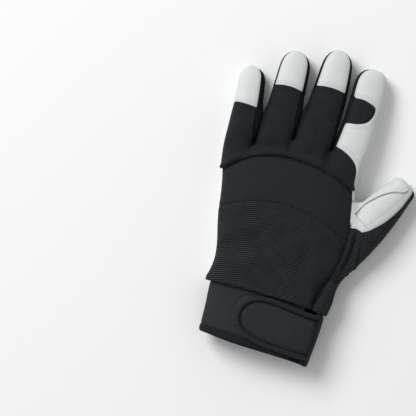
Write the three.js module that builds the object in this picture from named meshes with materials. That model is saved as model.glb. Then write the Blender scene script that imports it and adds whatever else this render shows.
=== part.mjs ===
// Left-hand mechanic glove, filled out and lying palm down.
// Millimetres. +X points to the thumb side, +Y to the fingertips, +Z out of the back of the hand.
// One skin of quads is laid over the whole hand. Seam lines cut it into the sewn panels, and each
// panel is then given its cloth or leather wall. The cuff and its strap are swept on their own.
import * as THREE from 'three';
import { mergeVertices } from 'three/addons/utils/BufferGeometryUtils.js';

// Driving sizes
const gloveLength = 247; // back hem of the cuff to the middle fingertip
const palmWidth = 111; // across the finger roots
const handHeight = 35; // palm to back at the fullest part
const sideHeight = 0.443 * handHeight; // height of the outline above the table
const restPress = 0.8; // how far the palm side is pressed flat
const seamGap = 0.3; // clear space between neighbouring panels
const leatherWall = 1.2;
const clothWall = 1.3;
const bandWall = 2.2; // foam-backed knuckle band
const overlayLift = 0.4; // overlays stand this far above the cloth
const rollLift = 1.5; // rolled hem of the finger panel over the knuckle band
const rollWidth = 5;
const knitRollLift = 1; // the knit's lower edge over the cuff
const patchSink = 0.2; // the index patch lies below the leather round it
const webSlope = 7; // the palm end of a finger web lies this much further out
const cuffWall = 2.2;
const cuffTuck = 5; // cuff length hidden inside the hand
const hemWidth = 6.3;
const hemLift = 0.7; // the folded hem is this much fuller on both faces
const strapWall = 1.8;
const strapDome = 0.5; // the strap's foam stands this much fuller in its middle
const bindingWidth = 4.4;
const bindingHeight = 3.4;
const loopPadWall = 0.8;
const strapLift = loopPadWall + 2 * seamGap; // the loop pad lies under the strap
const pipingWidth = 1.8;
const pipingHeight = 1.2;

// Plan points and heights are shares, in hundredths, of palmWidth and gloveLength.
const across = (share) => (share / 100) * palmWidth;
const along = (share) => (share / 100) * gloveLength;
const planPoint = ([x, y]) => new THREE.Vector2(across(x), along(y));

// Fingers, thumbwards. x, bow and width are shares of palmWidth, y shares of gloveLength.
const tipLengthShare = 0.45; // fingertip length over finger width
const fingerTable = [
  { name: 'pinky', rootX: -49.8, tipX: -52.4, bow: 1.26, tipY: 87.2, width: 21.6, tipWidth: 0.93, height: 0.9,
    capY: 74.1, capArch: 1.2,
    leftY: 60.4, rightY: 61.5, seamLeft: -0.86, seamRight: 0.56 },
  { name: 'ring', rootX: -25.1, tipX: -25.5, bow: 0.54, tipY: 95.9, width: 25.4, tipWidth: 0.9, height: 0.97,
    capY: 82.8, capArch: 3,
    leftY: 61.5, rightY: 66.6, seamLeft: -0.89, seamRight: 0.74 },
  { name: 'middle', rootX: 1.6, tipX: 3.7, bow: 1.17, tipY: 100, width: 27.6, tipWidth: 0.84, height: 1,
    capY: 86.2, capArch: 2.7,
    leftY: 66.6, rightY: 66.6, seamLeft: -0.85, seamRight: 0.76 },
  { name: 'index', rootX: 29.8, tipX: 31, bow: 1.08, tipY: 97.3, width: 25.9, tipWidth: 0.96, height: 0.98,
    leftY: 66.6, rightY: 63.2, seamLeft: -0.84, seamRight: 0.86 },
];

const fingers = fingerTable.map((row) => ({ ...row, size: across(row.width), tipStart: along(row.tipY)
  - across(row.width) * tipLengthShare }));

// Finger sections from the root to the start of the fingertip: width as a share of the finger's
// width before its taper, taper as the share of the way to tipWidth, top as a share of handHeight,
// bottom in millimetres above the table, power as the squareness of the section, tightness as the
// share by which the side seams have moved in from the widest line.
const fingerSections = [
  { at: 0, width: 0.93, taper: 0, top: 0.77, bottom: -0.5, power: 3.4, tightness: 0 },
  { at: 0.14, width: 0.965, taper: 0, top: 0.76, bottom: 0.1, power: 3, tightness: 0.3 },
  { at: 0.34, width: 1, taper: 0, top: 0.73, bottom: 0.7, power: 2.6, tightness: 0.8 },
  { at: 0.55, width: 1, taper: 0.15, top: 0.69, bottom: 0.8, power: 2.4, tightness: 1 },
  { at: 0.78, width: 1, taper: 0.5, top: 0.635, bottom: 0.2, power: 2.4, tightness: 1 },
  { at: 1, width: 1, taper: 1, top: 0.577, bottom: -0.5, power: 2.4, tightness: 1 },
];
const fingerRows = 8;
const tipAngles = [0.42, 0.78, 1.05]; // where rings cross the rounded tip, radians from its start
const backColumns = 5; // quads across a finger's back and its palm face
const sideColumns = 3;
const ringSize = 2 * (backColumns + sideColumns);

// Outline of the hand between cuff and fingers.
const leftOutline = [
  { y: 15.4, x: -44.1 }, { y: 17.6, x: -44.4 }, { y: 20, x: -43.5 }, { y: 23.5, x: -42.7 },
  { y: 28.3, x: -44.1 }, { y: 34.4, x: -47.7 }, { y: 39.3, x: -50.1 }, { y: 44.5, x: -51.6 },
  { y: 51.8, x: -55 }, { y: 57.1, x: -57.1 }, { y: 60.7, x: -58.1 },
];
const rightOutline = [
  { y: 15.4, x: 47 }, { y: 20.2, x: 48.8 }, { y: 23.5, x: 48.6 }, { y: 26.7, x: 47.4 },
  { y: 32.4, x: 46.9 }, { y: 39.3, x: 46.7 }, { y: 45.3, x: 46.4 }, { y: 50.6, x: 44.9 },
  { y: 53.8, x: 42.8 }, { y: 57.9, x: 40.9 }, { y: 63.2, x: 42.2 },
];
// Height of the back above the table, as a share of handHeight.
const backHeights = [
  { y: 15.4, top: 0.93 }, { y: 24, top: 0.96 }, { y: 34, top: 1 }, { y: 46, top: 1 }, { y: 56, top: 0.94 },
  { y: 62, top: 0.86 }, { y: 68, top: 0.8 },
];
const backPower = 2.4;
const palmPower = 3.2;

// Seam rows across the hand: where each meets the two outlines, its crest on the back and its
// middle on the palm. row counts the skin's rows from the wrist.
const seamRows = [
  { row: 0, left: 16.2, crest: 17.3, right: 15.6, palm: 15.6 },
  { row: 9, left: 40.1, crest: 46.7, right: 39.5, palm: 40.4 },
  { row: 14, left: 52.2, crest: 61.8, right: 56.8, palm: 56.4 },
];
const seamArch = 2.14; // how square the arches of the seam rows are
const [wristRow, knitTopRow, hemRow] = seamRows.map((seam) => seam.row);
const crotchRow = 17;
const fingerBlend = [0.12, 0.42, 0.74, 1]; // how far rows hemRow to crotchRow follow the fingers

// Thumb, in the same measures: its inner edge runs from the crotch and its outer edge from the heel.
const thumbHole = { from: 4, to: 13 }; // the skin rows that the thumb grows from
const thumb = {
  inner: [[45.4, 52.8], [54, 58.6], [64.6, 64.2]].map(planPoint),
  outer: [[47.4, 26.6], [69.5, 39.5], [82.2, 59]].map(planPoint),
  tipLength: 8,
  tipPower: 3,
};
const thumbSections = [
  { at: 0, top: 0.63, bottom: 4 },
  { at: 0.12, top: 0.657, bottom: 0.2 },
  { at: 0.4, top: 0.73, bottom: -0.6 },
  { at: 0.7, top: 0.7, bottom: -0.6 },
  { at: 1, top: 0.614, bottom: -0.3 },
];
const thumbRows = 8;
const thumbPower = 2.3;
const thumbCorner = 0.5; // angle from the edge to the corner of the thumb's section, radians

// Seam lines drawn on the plan.
const seamLines = {
  knitRight: [[45.5, 40.5], [44.6, 35.6], [41.9, 29.1], [36.9, 22.3], [33.3, 12]],
  gussetBase: [[36, 28.9], [41.4, 27.9], [50.5, 26.5]],
  thumbCloth: [[39.6, 44.1], [44.6, 45.3], [47.7, 45.9], [51.4, 45.6], [54.1, 44.7], [59.5, 46.6],
    [63.1, 48.2], [67.6, 50.2], [72.1, 53], [76.6, 56.3], [79.3, 59.5], [81.5, 63.2], [82.9, 66.4]],
  gussetOuter: [[54.1, 45.6], [56.8, 42.1], [58.6, 39.3], [58.1, 35.6], [55, 32], [50.5, 29.4], [44, 25.2]],
  thumbPiping: [[39.6, 48.2], [45.9, 51.4], [52.3, 55.1], [61.3, 59.1], [67.6, 60.7], [75.7, 61.9],
    [77.9, 63.6], [80.2, 66]],
  overlayBase: [[44.1, 53], [46.8, 49.8], [49.5, 48.6], [55.9, 47.2], [61.3, 44.9]],
  indexPanel: [[12.6, 69.6], [18.5, 69.4], [22.5, 69.1], [27, 68.4], [31.5, 67.4], [36, 65.6], [38.3, 64],
    [38.7, 62.6], [38, 61.1], [38.2, 59.5], [39.2, 57.1], [41.4, 53], [43.2, 48.6]],
  palmCloth: [[7.2, 12.6], [12.6, 15.6], [29.7, 24.7], [44.1, 31.6], [55, 38.1], [63.1, 43.9], [69.4, 48.6],
    [73.9, 52.6], [78.4, 56.7], [82, 60.7], [83.8, 64.8]],
};
const indexPatch = { from: planPoint([11.7, 81.7]), to: planPoint([29.5, 82.4]), radius: across(9.4) };

// Folds pressed into the skin: ends on the plan, depth and half width in millimetres, and the side.
const folds = [
  { name: 'wrist slit', side: 1, from: [37.5, 26.5], to: [36.3, 17], depth: 4, half: 4 },
  { name: 'gusset pleat', side: 1, from: [50, 45], to: [46.6, 29], depth: 2.4, half: 3 },
  { name: 'gusset edge', side: 1, from: [54.5, 43.5], to: [54.5, 33], depth: 2.4, half: 3.4 },
  { name: 'knit sag', side: 1, from: [-38, 27], to: [-12, 36], depth: 1.2, half: 9 },
  { name: 'thumb crease', side: -1, from: [40, 50], to: [35, 42], depth: 2.2, half: 4 },
  { name: 'thumb pleat', side: -1, from: [46, 50], to: [52, 42], depth: 2, half: 4 },
  { name: 'heel crease', side: -1, from: [30, 56], to: [4, 66], depth: 1.2, half: 6 },
];

// Cuff sections from its tucked edge down, in the same measures.
const cuffRows = [
  { at: 0, left: -41, right: 44.4, top: 0.829, bottom: 2.8 },
  { at: 0.15, left: -41, right: 45, top: 0.834, bottom: 2.7 },
  { at: 0.5, left: -40, right: 44.6, top: 0.845, bottom: 2.5 },
  { at: 1, left: -38.7, right: 42.5, top: 0.84, bottom: 2.3 },
];
const cuffHem = { left: -0.2, right: -1.9, back: -0.5, palm: -1.6 }; // lower edge, along the glove
const cuffPower = 2.5;
const cuffColumns = 32;
const slit = { from: 30, to: 40 }; // the cuff is open between these places across, under the strap
const strapOutline = [[39.6, 15.3], [27, 15.6], [13.5, 16.3], [2.7, 16.6], [-4.5, 16.2], [-10.8, 15],
  [-15.3, 12.6], [-17.6, 9.5], [-16.7, 6.5], [-13.5, 4.05], [-8.1, 2.2], [0, 1.2], [9, 0.6], [22, 0.3],
  [39.6, 0]];
const [strapColumns, strapRows] = [9, 4];
const [loopPadColumns, loopPadRows] = [6, 2];
const loopPadOutline = [[14, 15.2], [0, 15.6], [-8, 15.7], [-14.6, 15], [-18.6, 13], [-20.3, 10],
  [-19.6, 6.8], [-16.4, 4.6], [-10, 3.6], [0, 3.2], [14, 3]];

// Smooth value of a column of a table at a place along it.
function tableValue(rows, key, column, place) {
  const last = rows.length - 1;
  let i = 0;
  while (i < last - 1 && place > rows[i + 1][key]) i += 1;
  const [before, here, next, after] = [i - 1, i, i + 1, i + 2]
    .map((n) => rows[Math.min(Math.max(n, 0), last)]);
  const span = next[key] - here[key];
  const t = Math.min(Math.max((place - here[key]) / span, 0), 1);
  const slope = (a, b) => (b[key] === a[key] ? 0 : ((b[column] - a[column]) / (b[key] - a[key])) * span);
  const [m0, m1] = [slope(before, next), slope(here, after)];
  const step = next[column] - here[column];
  return here[column] + t * (m0 + t * (3 * step - 2 * m0 - m1 + t * (m0 + m1 - 2 * step)));
}
const lerp = THREE.MathUtils.lerp;
const rounded = (value, power) => Math.sign(value) * Math.abs(value) ** power;
// Point of a unit oval of some squareness at an angle, and the angle where it has a given x.
const ovalPoint = (angle, power) => (
  [Math.cos(angle), Math.sin(angle)].map((value) => rounded(value, 2 / power)));
const ovalAngle = (x, power) => Math.acos(rounded(Math.min(Math.max(x, -1), 1), power / 2));

// The skin: points and faces, each face knowing its zone on the hand.
const skin = { points: [], faces: [] };
function addPoint(x, y, z) {
  skin.points.push(new THREE.Vector3(x, y, Math.max(z, 0)));
  return skin.points.length - 1;
}
function addFace(loop, zone, place = {}) {
  skin.faces.push({ loop, zone, ...place });
}

// Angles spread evenly from stop to stop.
const spreadAngles = (stops) => stops.flatMap(({ from, to, count }) => (
  Array.from({ length: count }, (_, k) => lerp(from, to, k / count))));

// Angles of a finger ring: back left to right, right side down, palm right to left, left side up.
function ringAngles(seams, power) {
  const left = ovalAngle(seams.left, power);
  const right = ovalAngle(seams.right, power);
  const stops = [
    { from: left, to: right, count: backColumns },
    { from: right, to: -right, count: sideColumns },
    { from: -right, to: -left, count: backColumns },
    { from: -left, to: left - 2 * Math.PI, count: sideColumns },
  ];
  return spreadAngles(stops);
}

// Positions of a finger's ring at a share of the way from its root to the start of its tip.
function fingerRing(finger, share) {
  const at = (column) => tableValue(fingerSections, 'at', column, share);
  const middle = across(lerp(finger.rootX, finger.tipX, share) + finger.bow * 4 * share * (1 - share));
  const half = (finger.size * at('width') * lerp(1, finger.tipWidth, at('taper'))) / 2;
  const [low, high] = [at('bottom'), at('top') * handHeight * finger.height];
  const rootSeam = 0.97;
  const outerLeft = finger === fingers[0];
  const outerRight = finger === fingers[fingers.length - 1];
  const seams = {
    left: outerLeft ? finger.seamLeft : lerp(-rootSeam, finger.seamLeft, at('tightness')),
    right: outerRight ? finger.seamRight : lerp(rootSeam, finger.seamRight, at('tightness')),
  };
  return ringAngles(seams, at('power')).map((angle) => {
    const [x, z] = ovalPoint(angle, at('power'));
    const rootY = along(lerp(finger.leftY, finger.rightY, (x + 1) / 2)) + (webSlope * (1 - z)) / 2;
    return new THREE.Vector3(
      middle + half * x, lerp(rootY, finger.tipStart, share), (low + high) / 2 + ((high - low) / 2) * z);
  });
}

// A ring pushed out along an axis and drawn in to make a rounded tip.
function tipRing(base, centre, axis, length, angle, power) {
  const draw = Math.cos(angle) ** (2 / power);
  const push = length * Math.sin(angle) ** (2 / power);
  return base.map((p) => p.clone().sub(centre).multiplyScalar(draw).add(centre).addScaledVector(axis, push));
}

// Quads between two rings of the same size. zoneOf names the zone of each column. A ring that runs
// clockwise seen from its tip is bridged backwards.
function bridgeRings(first, second, zoneOf, clockwise = false) {
  first.forEach((a, k) => {
    const next = (k + 1) % first.length;
    const loop = [a, first[next], second[next], second[k]];
    addFace(clockwise ? loop.reverse() : loop, ...zoneOf(k));
  });
}

// Closes a tip with a patch of quads. top and bottom run the same way, ends hold the side points.
function closeTip({ top, leftEnd, rightEnd, bottom, centre, axis, length, power, draw, zoneOf }) {
  const rows = [top];
  leftEnd.forEach((left, i) => {
    const down = (i + 1) / (leftEnd.length + 1);
    const row = top.map((_, c) => {
      const share = c / (top.length - 1);
      if (c === 0) return left;
      if (c === top.length - 1) return rightEnd[i];
      const [p, q] = [skin.points[top[c]], skin.points[bottom[c]]];
      const flat = p.clone().lerp(q, down);
      const out = Math.max(Math.abs(2 * share - 1), Math.abs(2 * down - 1)) * draw;
      const reach = length * (1 - out ** power) ** (1 / power);
      const level = flat.clone().sub(centre).dot(axis);
      flat.addScaledVector(axis, reach - level);
      return addPoint(flat.x, flat.y, flat.z);
    });
    rows.push(row);
  });
  rows.push(bottom);
  for (let r = 0; r + 1 < rows.length; r += 1)
    for (let c = 0; c + 1 < top.length; c += 1)
      addFace([rows[r][c], rows[r][c + 1], rows[r + 1][c + 1], rows[r + 1][c]], ...zoneOf(r));
}

const centreOf = (points) => (
  points.reduce((sum, p) => sum.add(p), new THREE.Vector3()).divideScalar(points.length));
const placeAll = (points) => points.map((p) => addPoint(p.x, p.y, p.z));

// Finger rings, tips and the webs between the fingers.
function ringZone(finger, k) {
  if (k < backColumns) return ['fingerBack', { finger }];
  if (k < backColumns + sideColumns) return ['rightSide', { finger, level: k - backColumns }];
  if (k < 2 * backColumns + sideColumns) return ['fingerPalm', { finger }];
  return ['leftSide', { finger, level: 2 * (backColumns + sideColumns) - 1 - k }];
}
const rootRings = fingers.map((finger) => placeAll(fingerRing(finger, 0)));
fingers.forEach((finger, f) => {
  const yAxis = new THREE.Vector3(0, 1, 0);
  const length = finger.size * tipLengthShare;
  let ring = rootRings[f];
  const extend = (points) => {
    const next = placeAll(points);
    bridgeRings(ring, next, (k) => ringZone(f, k));
    ring = next;
  };
  for (let r = 1; r <= fingerRows; r += 1) extend(fingerRing(finger, r / fingerRows));
  const base = ring.map((i) => skin.points[i]);
  const centre = centreOf(base);
  tipAngles.forEach((angle) => extend(tipRing(base, centre, yAxis, length, angle, 2)));
  const lastAngle = tipAngles[tipAngles.length - 1];
  const palmStart = backColumns + sideColumns;
  closeTip({
    top: ring.slice(0, backColumns + 1),
    rightEnd: ring.slice(backColumns + 1, palmStart),
    bottom: ring.slice(palmStart, palmStart + backColumns + 1).reverse(),
    leftEnd: ring.slice(palmStart + backColumns + 1).reverse(),
    centre, axis: yAxis, length, power: 2, draw: Math.cos(lastAngle),
    zoneOf: (r) => ['fingerTip', { finger: f, level: r }],
  });
});
for (let f = 0; f + 1 < fingers.length; f += 1) {
  const palmCorner = backColumns + sideColumns;
  const right = rootRings[f].slice(backColumns, palmCorner + 1);
  const left = [rootRings[f + 1][0], ...rootRings[f + 1].slice(palmCorner + backColumns).reverse()];
  for (let i = 0; i < sideColumns; i += 1)
    addFace([right[i], left[i], left[i + 1], right[i + 1]], 'web', { finger: f });
}

// The hand's rows. A ring runs over the back, down the thumb side, back under the palm and up.
const crotchRing = [
  ...rootRings.flatMap((ring) => ring.slice(0, backColumns + 1)),
  ...rootRings[rootRings.length - 1].slice(backColumns + 1, backColumns + sideColumns),
  ...[...rootRings].reverse()
    .flatMap((ring) => ring.slice(backColumns + sideColumns, ringSize - sideColumns + 1)),
  ...rootRings[0].slice(ringSize - sideColumns + 1),
];
const backCount = fingers.length * (backColumns + 1); // points over the back, pinky edge to index edge
const palmFirst = backCount - 1 + sideColumns;
const palmLast = palmFirst + backCount - 1;
const rootXs = crotchRing.map((i) => skin.points[i].x);
const [rootLow, rootHigh] = [Math.min(...rootXs), Math.max(...rootXs)];
const xShares = rootXs.map((x) => ((x - rootLow) / (rootHigh - rootLow)) * 2 - 1);

// Unit section of the hand at ring point m: x and z shares.
function handShare(m) {
  const level = (x, power) => Math.max(1 - Math.abs(x) ** power, 0) ** (1 / power);
  if (m < backCount) return [xShares[m], level(xShares[m], backPower)];
  if (m >= palmFirst && m <= palmLast) return [xShares[m], -level(xShares[m], palmPower)];
  const onRight = m < palmFirst;
  const [topPoint, lowPoint] = onRight ? [backCount - 1, palmFirst] : [0, palmLast];
  const step = onRight ? (m - backCount + 1) / sideColumns : (crotchRing.length - m) / sideColumns;
  const z = lerp(handShare(topPoint)[1], handShare(lowPoint)[1], step);
  return [(onRight ? 1 : -1) * level(z, backPower), z];
}
function seamRowY(seam, x, z) {
  const edge = x < 0 ? seam.left : seam.right;
  const middle = z >= 0 ? seam.crest : seam.palm;
  return along(edge + (middle - edge) * (1 - Math.abs(x) ** seamArch));
}
function handPoint(row, m) {
  const [x, z] = handShare(m);
  const target = skin.points[crotchRing[m]];
  const after = Math.max(seamRows.findIndex((seam) => seam.row >= row), 1);
  const [low, high] = row > hemRow ? [seamRows[2], null] : [seamRows[after - 1], seamRows[after]];
  const share = high ? (row - low.row) / (high.row - low.row) : (row - hemRow) / (crotchRow - hemRow);
  const y = lerp(seamRowY(low, x, z), high ? seamRowY(high, x, z) : target.y, share);
  const place = (y / gloveLength) * 100;
  const left = across(tableValue(leftOutline, 'y', 'x', place));
  const right = across(tableValue(rightOutline, 'y', 'x', place));
  const top = tableValue(backHeights, 'y', 'top', place) * handHeight;
  const rise = z >= 0 ? top - sideHeight : sideHeight + restPress;
  const blend = row >= hemRow ? fingerBlend[row - hemRow] : 0;
  return new THREE.Vector3(
    lerp(lerp(left, right, (x + 1) / 2), target.x, blend), y, lerp(sideHeight + rise * z, target.z, blend));
}
const handRings = [];
for (let row = wristRow; row < crotchRow; row += 1)
  handRings.push(placeAll(crotchRing.map((_, m) => handPoint(row, m))));
handRings.push(crotchRing);
const inThumbHole = (row, m) => (
  row >= thumbHole.from && row < thumbHole.to && m >= backCount - 1 && m < palmFirst);
for (let row = wristRow; row < crotchRow; row += 1)
  crotchRing.forEach((_, m) => {
    if (inThumbHole(row, m)) return;
    const next = (m + 1) % crotchRing.length;
    const [, zone] = [[backCount - 1, 'handBack'], [palmFirst, 'thumbSide'], [palmLast, 'handPalm'],
      [Infinity, 'outerSide']].find(([end]) => m < end);
    const [lower, upper] = [handRings[row], handRings[row + 1]];
    addFace([lower[m], lower[next], upper[next], upper[m]], zone,
      { row, level: m < palmFirst ? m - backCount + 1 : m - palmLast });
  });

// Thumb rings grow from the hole in the hand's side. A ring starts at the upper inner corner and
// runs down the inner edge, under the palm, up the outer edge and back over the top.
const thumbLong = thumbHole.to - thumbHole.from;
const thumbRing0 = [
  ...Array.from({ length: sideColumns }, (_, k) => handRings[thumbHole.to][backCount - 1 + k]),
  ...Array.from({ length: thumbLong }, (_, k) => handRings[thumbHole.to - k][palmFirst]),
  ...Array.from({ length: sideColumns }, (_, k) => handRings[thumbHole.from][palmFirst - k]),
  ...Array.from({ length: thumbLong }, (_, k) => handRings[thumbHole.from + k][backCount - 1]),
];
const thumbAngles = spreadAngles([
  { from: thumbCorner, to: -thumbCorner, count: sideColumns },
  { from: -thumbCorner, to: thumbCorner - Math.PI, count: thumbLong },
  { from: thumbCorner - Math.PI, to: -thumbCorner - Math.PI, count: sideColumns },
  { from: -thumbCorner - Math.PI, to: thumbCorner - 2 * Math.PI, count: thumbLong },
]);
const innerEdge = new THREE.QuadraticBezierCurve(...thumb.inner);
const outerEdge = new THREE.QuadraticBezierCurve(...thumb.outer);
function thumbRing(share) {
  const [inner, outer] = [innerEdge.getPoint(share), outerEdge.getPoint(share)];
  const at = (column) => tableValue(thumbSections, 'at', column, share);
  const [low, high] = [at('bottom'), at('top') * handHeight];
  return thumbAngles.map((angle) => {
    const [x, z] = ovalPoint(angle, thumbPower);
    const p = outer.clone().lerp(inner, (x + 1) / 2);
    return new THREE.Vector3(p.x, p.y, (low + high) / 2 + ((high - low) / 2) * z);
  });
}
function thumbZone(k) {
  if (k < sideColumns) return ['thumbInner', { level: k }];
  if (k < sideColumns + thumbLong) return ['thumbPalm', {}];
  if (k < 2 * sideColumns + thumbLong) return ['thumbOuter', { level: 2 * sideColumns + thumbLong - 1 - k }];
  return ['thumbBack', {}];
}
{
  let ring = thumbRing0;
  const extend = (points) => {
    const next = placeAll(points);
    bridgeRings(ring, next, thumbZone, true);
    ring = next;
  };
  for (let r = 1; r <= thumbRows; r += 1) extend(thumbRing(r / thumbRows));
  const base = ring.map((i) => skin.points[i]);
  const centre = centreOf(base);
  const reach = innerEdge.getPoint(1).sub(outerEdge.getPoint(1)).normalize();
  const axis = new THREE.Vector3(reach.y, -reach.x, 0);
  tipAngles.forEach((angle) => extend(tipRing(base, centre, axis, thumb.tipLength, angle, thumb.tipPower)));
  const corner = sideColumns + thumbLong;
  closeTip({
    top: [ring[0], ...ring.slice(corner + sideColumns).reverse()],
    leftEnd: ring.slice(1, sideColumns),
    bottom: ring.slice(sideColumns, corner + 1),
    rightEnd: ring.slice(corner + 1, corner + sideColumns).reverse(),
    centre, axis, length: thumb.tipLength, power: thumb.tipPower,
    draw: Math.cos(tipAngles[tipAngles.length - 1]) ** (2 / thumb.tipPower),
    zoneOf: (r) => ['thumbTip', { level: r }],
  });
}

// Evens out the skin where the thumb grows from the hand.
const relaxPasses = 4;
const relaxReach = 14;
const relaxPull = 0.5;
{
  const near = new Map();
  const base = thumbRing0.map((a) => skin.points[a].clone());
  skin.faces.forEach(({ loop }) => loop.forEach((a, i) => {
    near.set(a, (near.get(a) || new Set()).add(loop[(i + 1) % loop.length]).add(loop.at(i - 1)));
  }));
  const weight = skin.points.map((p) => {
    const distance = Math.min(...base.map((q) => q.distanceTo(p)));
    return relaxPull * Math.max(1 - distance / relaxReach, 0);
  });
  for (let pass = 0; pass < relaxPasses; pass += 1) {
    const goals = skin.points.map((p, a) => centreOf([...(near.get(a) || [a])].map((b) => skin.points[b])));
    skin.points.forEach((p, a) => p.lerp(goals[a], weight[a]));
  }
}

// Signed distance to a line of points on the plan: positive on its left.
function sideOfLine(points) {
  return ({ x, y }) => {
    let best = { distance: Infinity, lean: 0, signed: 0 };
    for (let i = 0; i + 1 < points.length; i += 1) {
      const [a, b] = [points[i], points[i + 1]];
      const [dx, dy] = [b.x - a.x, b.y - a.y];
      const length = Math.hypot(dx, dy);
      const raw = ((x - a.x) * dx + (y - a.y) * dy) / length;
      const low = i === 0 ? -Infinity : 0;
      const high = i + 2 === points.length ? Infinity : length;
      const t = Math.min(Math.max(raw, low), high);
      const cross = (dx * (y - a.y) - dy * (x - a.x)) / length;
      const distance = Math.hypot(cross, raw - t);
      const closer = distance < best.distance - 1e-9;
      const same = Math.abs(distance - best.distance) <= 1e-9 && Math.abs(cross) > best.lean;
      if (closer || same) best = { distance, lean: Math.abs(cross), signed: Math.sign(cross) * distance };
    }
    return best.signed;
  };
}
const lineFields = Object.fromEntries(
  Object.entries(seamLines).map(([name, points]) => [name, sideOfLine(points.map(planPoint))]));

// Distance outside the black patch on the index finger.
function patchField(p) {
  const way = indexPatch.to.clone().sub(indexPatch.from);
  const off = new THREE.Vector2(p.x, p.y).sub(indexPatch.from);
  const t = Math.min(off.dot(way) / way.lengthSq(), 1);
  return off.addScaledVector(way, -t).length() - indexPatch.radius;
}
// Distance beyond a finger's fingertip seam.
function capField(f, p) {
  const finger = fingers[f];
  const seam = along(finger.capY);
  const x = (p.x - across(finger.tipX)) / (finger.size / 2);
  return p.y - seam - finger.capArch * (1 - Math.min(x * x, 1));
}

// Cuts the skin along the zero line of a field, on the faces that it applies to. Loose points near
// the line are moved onto it, so that no slivers are left.
const snapShare = 0.3;
const nearLine = 0.3;
const pinned = new Set();
function cutSkin(field, applies) {
  const used = skin.faces.filter(applies);
  const values = new Map();
  const edges = new Map();
  const edgeKey = (a, b) => (a < b ? `${a}_${b}` : `${b}_${a}`);
  used.forEach(({ loop }) => loop.forEach((a, i) => {
    const b = loop[(i + 1) % loop.length];
    if (!values.has(a)) values.set(a, field(skin.points[a]));
    edges.set(edgeKey(a, b), [a, b]);
  }));
  values.forEach((value, a) => {
    if (Math.abs(value) < nearLine) values.set(a, 0);
  });
  const crossing = (a, b) => values.get(a) / (values.get(a) - values.get(b));
  const moves = new Map();
  edges.forEach(([a, b]) => {
    if (values.get(a) * values.get(b) >= 0) return;
    [[a, b], [b, a]].forEach(([from, to]) => {
      const t = crossing(from, to);
      const best = moves.get(from);
      if (t < snapShare && !pinned.has(from) && (!best || t < best.t)) moves.set(from, { t, to });
    });
  });
  const goals = [...moves].map(([from, { t, to }]) => (
    [from, skin.points[from].clone().lerp(skin.points[to], t)]));
  goals.forEach(([from, goal]) => {
    skin.points[from].copy(goal);
    values.set(from, 0);
  });
  const added = new Map();
  edges.forEach(([a, b], key) => {
    if (values.get(a) * values.get(b) >= 0) return;
    const p = skin.points[a].clone().lerp(skin.points[b], crossing(a, b));
    const made = addPoint(p.x, p.y, p.z);
    values.set(made, 0);
    added.set(key, made);
  });
  values.forEach((value, a) => value === 0 && pinned.add(a));
  const chosen = new Set(used);
  const result = [];
  skin.faces.forEach((face) => {
    const loop = face.loop.flatMap((a, i) => {
      const extra = added.get(edgeKey(a, face.loop[(i + 1) % face.loop.length]));
      return extra === undefined ? [a] : [a, extra];
    });
    const pieces = chosen.has(face) ? splitLoop(loop, values) : [loop];
    pieces.forEach((piece) => result.push({ ...face, loop: piece }));
  });
  skin.faces = result;
}
// A loop cut from one zero point to another when points of both signs lie on it.
function splitLoop(loop, values) {
  const n = loop.length;
  const zeros = loop.map((a, i) => (values.get(a) === 0 ? i : -1)).filter((i) => i >= 0);
  for (const i of zeros)
    for (const j of zeros) {
      if (j <= i + 1 || (i === 0 && j === n - 1)) continue;
      const inside = loop.slice(i, j + 1);
      const outside = [...loop.slice(j), ...loop.slice(0, i + 1)];
      const signs = [inside, outside].map((part) => (
        Math.sign(part.reduce((sum, a) => sum + values.get(a), 0))));
      const clean = [inside, outside].every((part, k) => (
        part.every((a) => values.get(a) * signs[k] >= 0)));
      if (clean && signs[0] * signs[1] < 0) return [inside, outside];
    }
  return [loop];
}

// Points on the standing seams keep their place.
fingers.forEach((_, f) => {
  skin.faces.filter((face) => face.finger === f && (face.zone === 'rightSide' || face.zone === 'leftSide'))
    .forEach((face) => face.loop.forEach((a) => pinned.add(a)));
});
[knitTopRow, hemRow].forEach((row) => handRings[row].slice(0, backCount).forEach((a) => pinned.add(a)));
thumbRing0.forEach((a) => pinned.add(a));
handRings[wristRow].forEach((a) => pinned.add(a));

const zoneIs = (...zones) => (face) => zones.includes(face.zone);
const rowBelow = (limit) => (face) => face.row < limit;
const both = (...tests) => (face) => tests.every((test) => test(face));
const onUpperThumb = (face) => face.zone === 'thumbBack' || (face.zone === 'thumbTip' && face.level === 0)
  || (face.zone === 'thumbOuter' && face.level === 0);
const onLowerThumb = (face) => face.zone === 'thumbPalm' || (face.zone === 'thumbTip' && face.level > 0)
  || (face.zone === 'thumbOuter' && face.level > 0);
const bySeam = (name) => (p) => lineFields[name](p);
fingers.slice(0, -1).forEach((_, f) => {
  const onBack = both((face) => face.finger === f, zoneIs('fingerBack', ...(f === 0 ? ['leftSide'] : [])));
  cutSkin((p) => capField(f, p), onBack);
});
const indexFinger = fingers.length - 1;
const onIndexBack = (face) => face.zone === 'fingerBack' && face.finger === indexFinger;
const onKnuckles = (face) => face.zone === 'handBack' && face.row >= knitTopRow;
cutSkin(patchField, onIndexBack);
cutSkin(bySeam('indexPanel'), (face) => onIndexBack(face) || onKnuckles(face));
cutSkin(bySeam('knitRight'), both(zoneIs('handBack'), rowBelow(knitTopRow)));
cutSkin(bySeam('gussetBase'), both(zoneIs('handBack'), rowBelow(thumbHole.from + 2)));
cutSkin(bySeam('thumbCloth'), onUpperThumb);
const onCloth = (field, side) => (face) => side * field(centreOf(face.loop.map((a) => skin.points[a]))) > 0;
cutSkin(bySeam('gussetOuter'), both(onUpperThumb, onCloth(lineFields.thumbCloth, -1)));
cutSkin(bySeam('thumbPiping'), both(onUpperThumb, onCloth(lineFields.thumbCloth, 1)));
cutSkin(bySeam('overlayBase'),
  both(onUpperThumb, onCloth(lineFields.thumbCloth, 1), onCloth(lineFields.thumbPiping, -1)));
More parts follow.
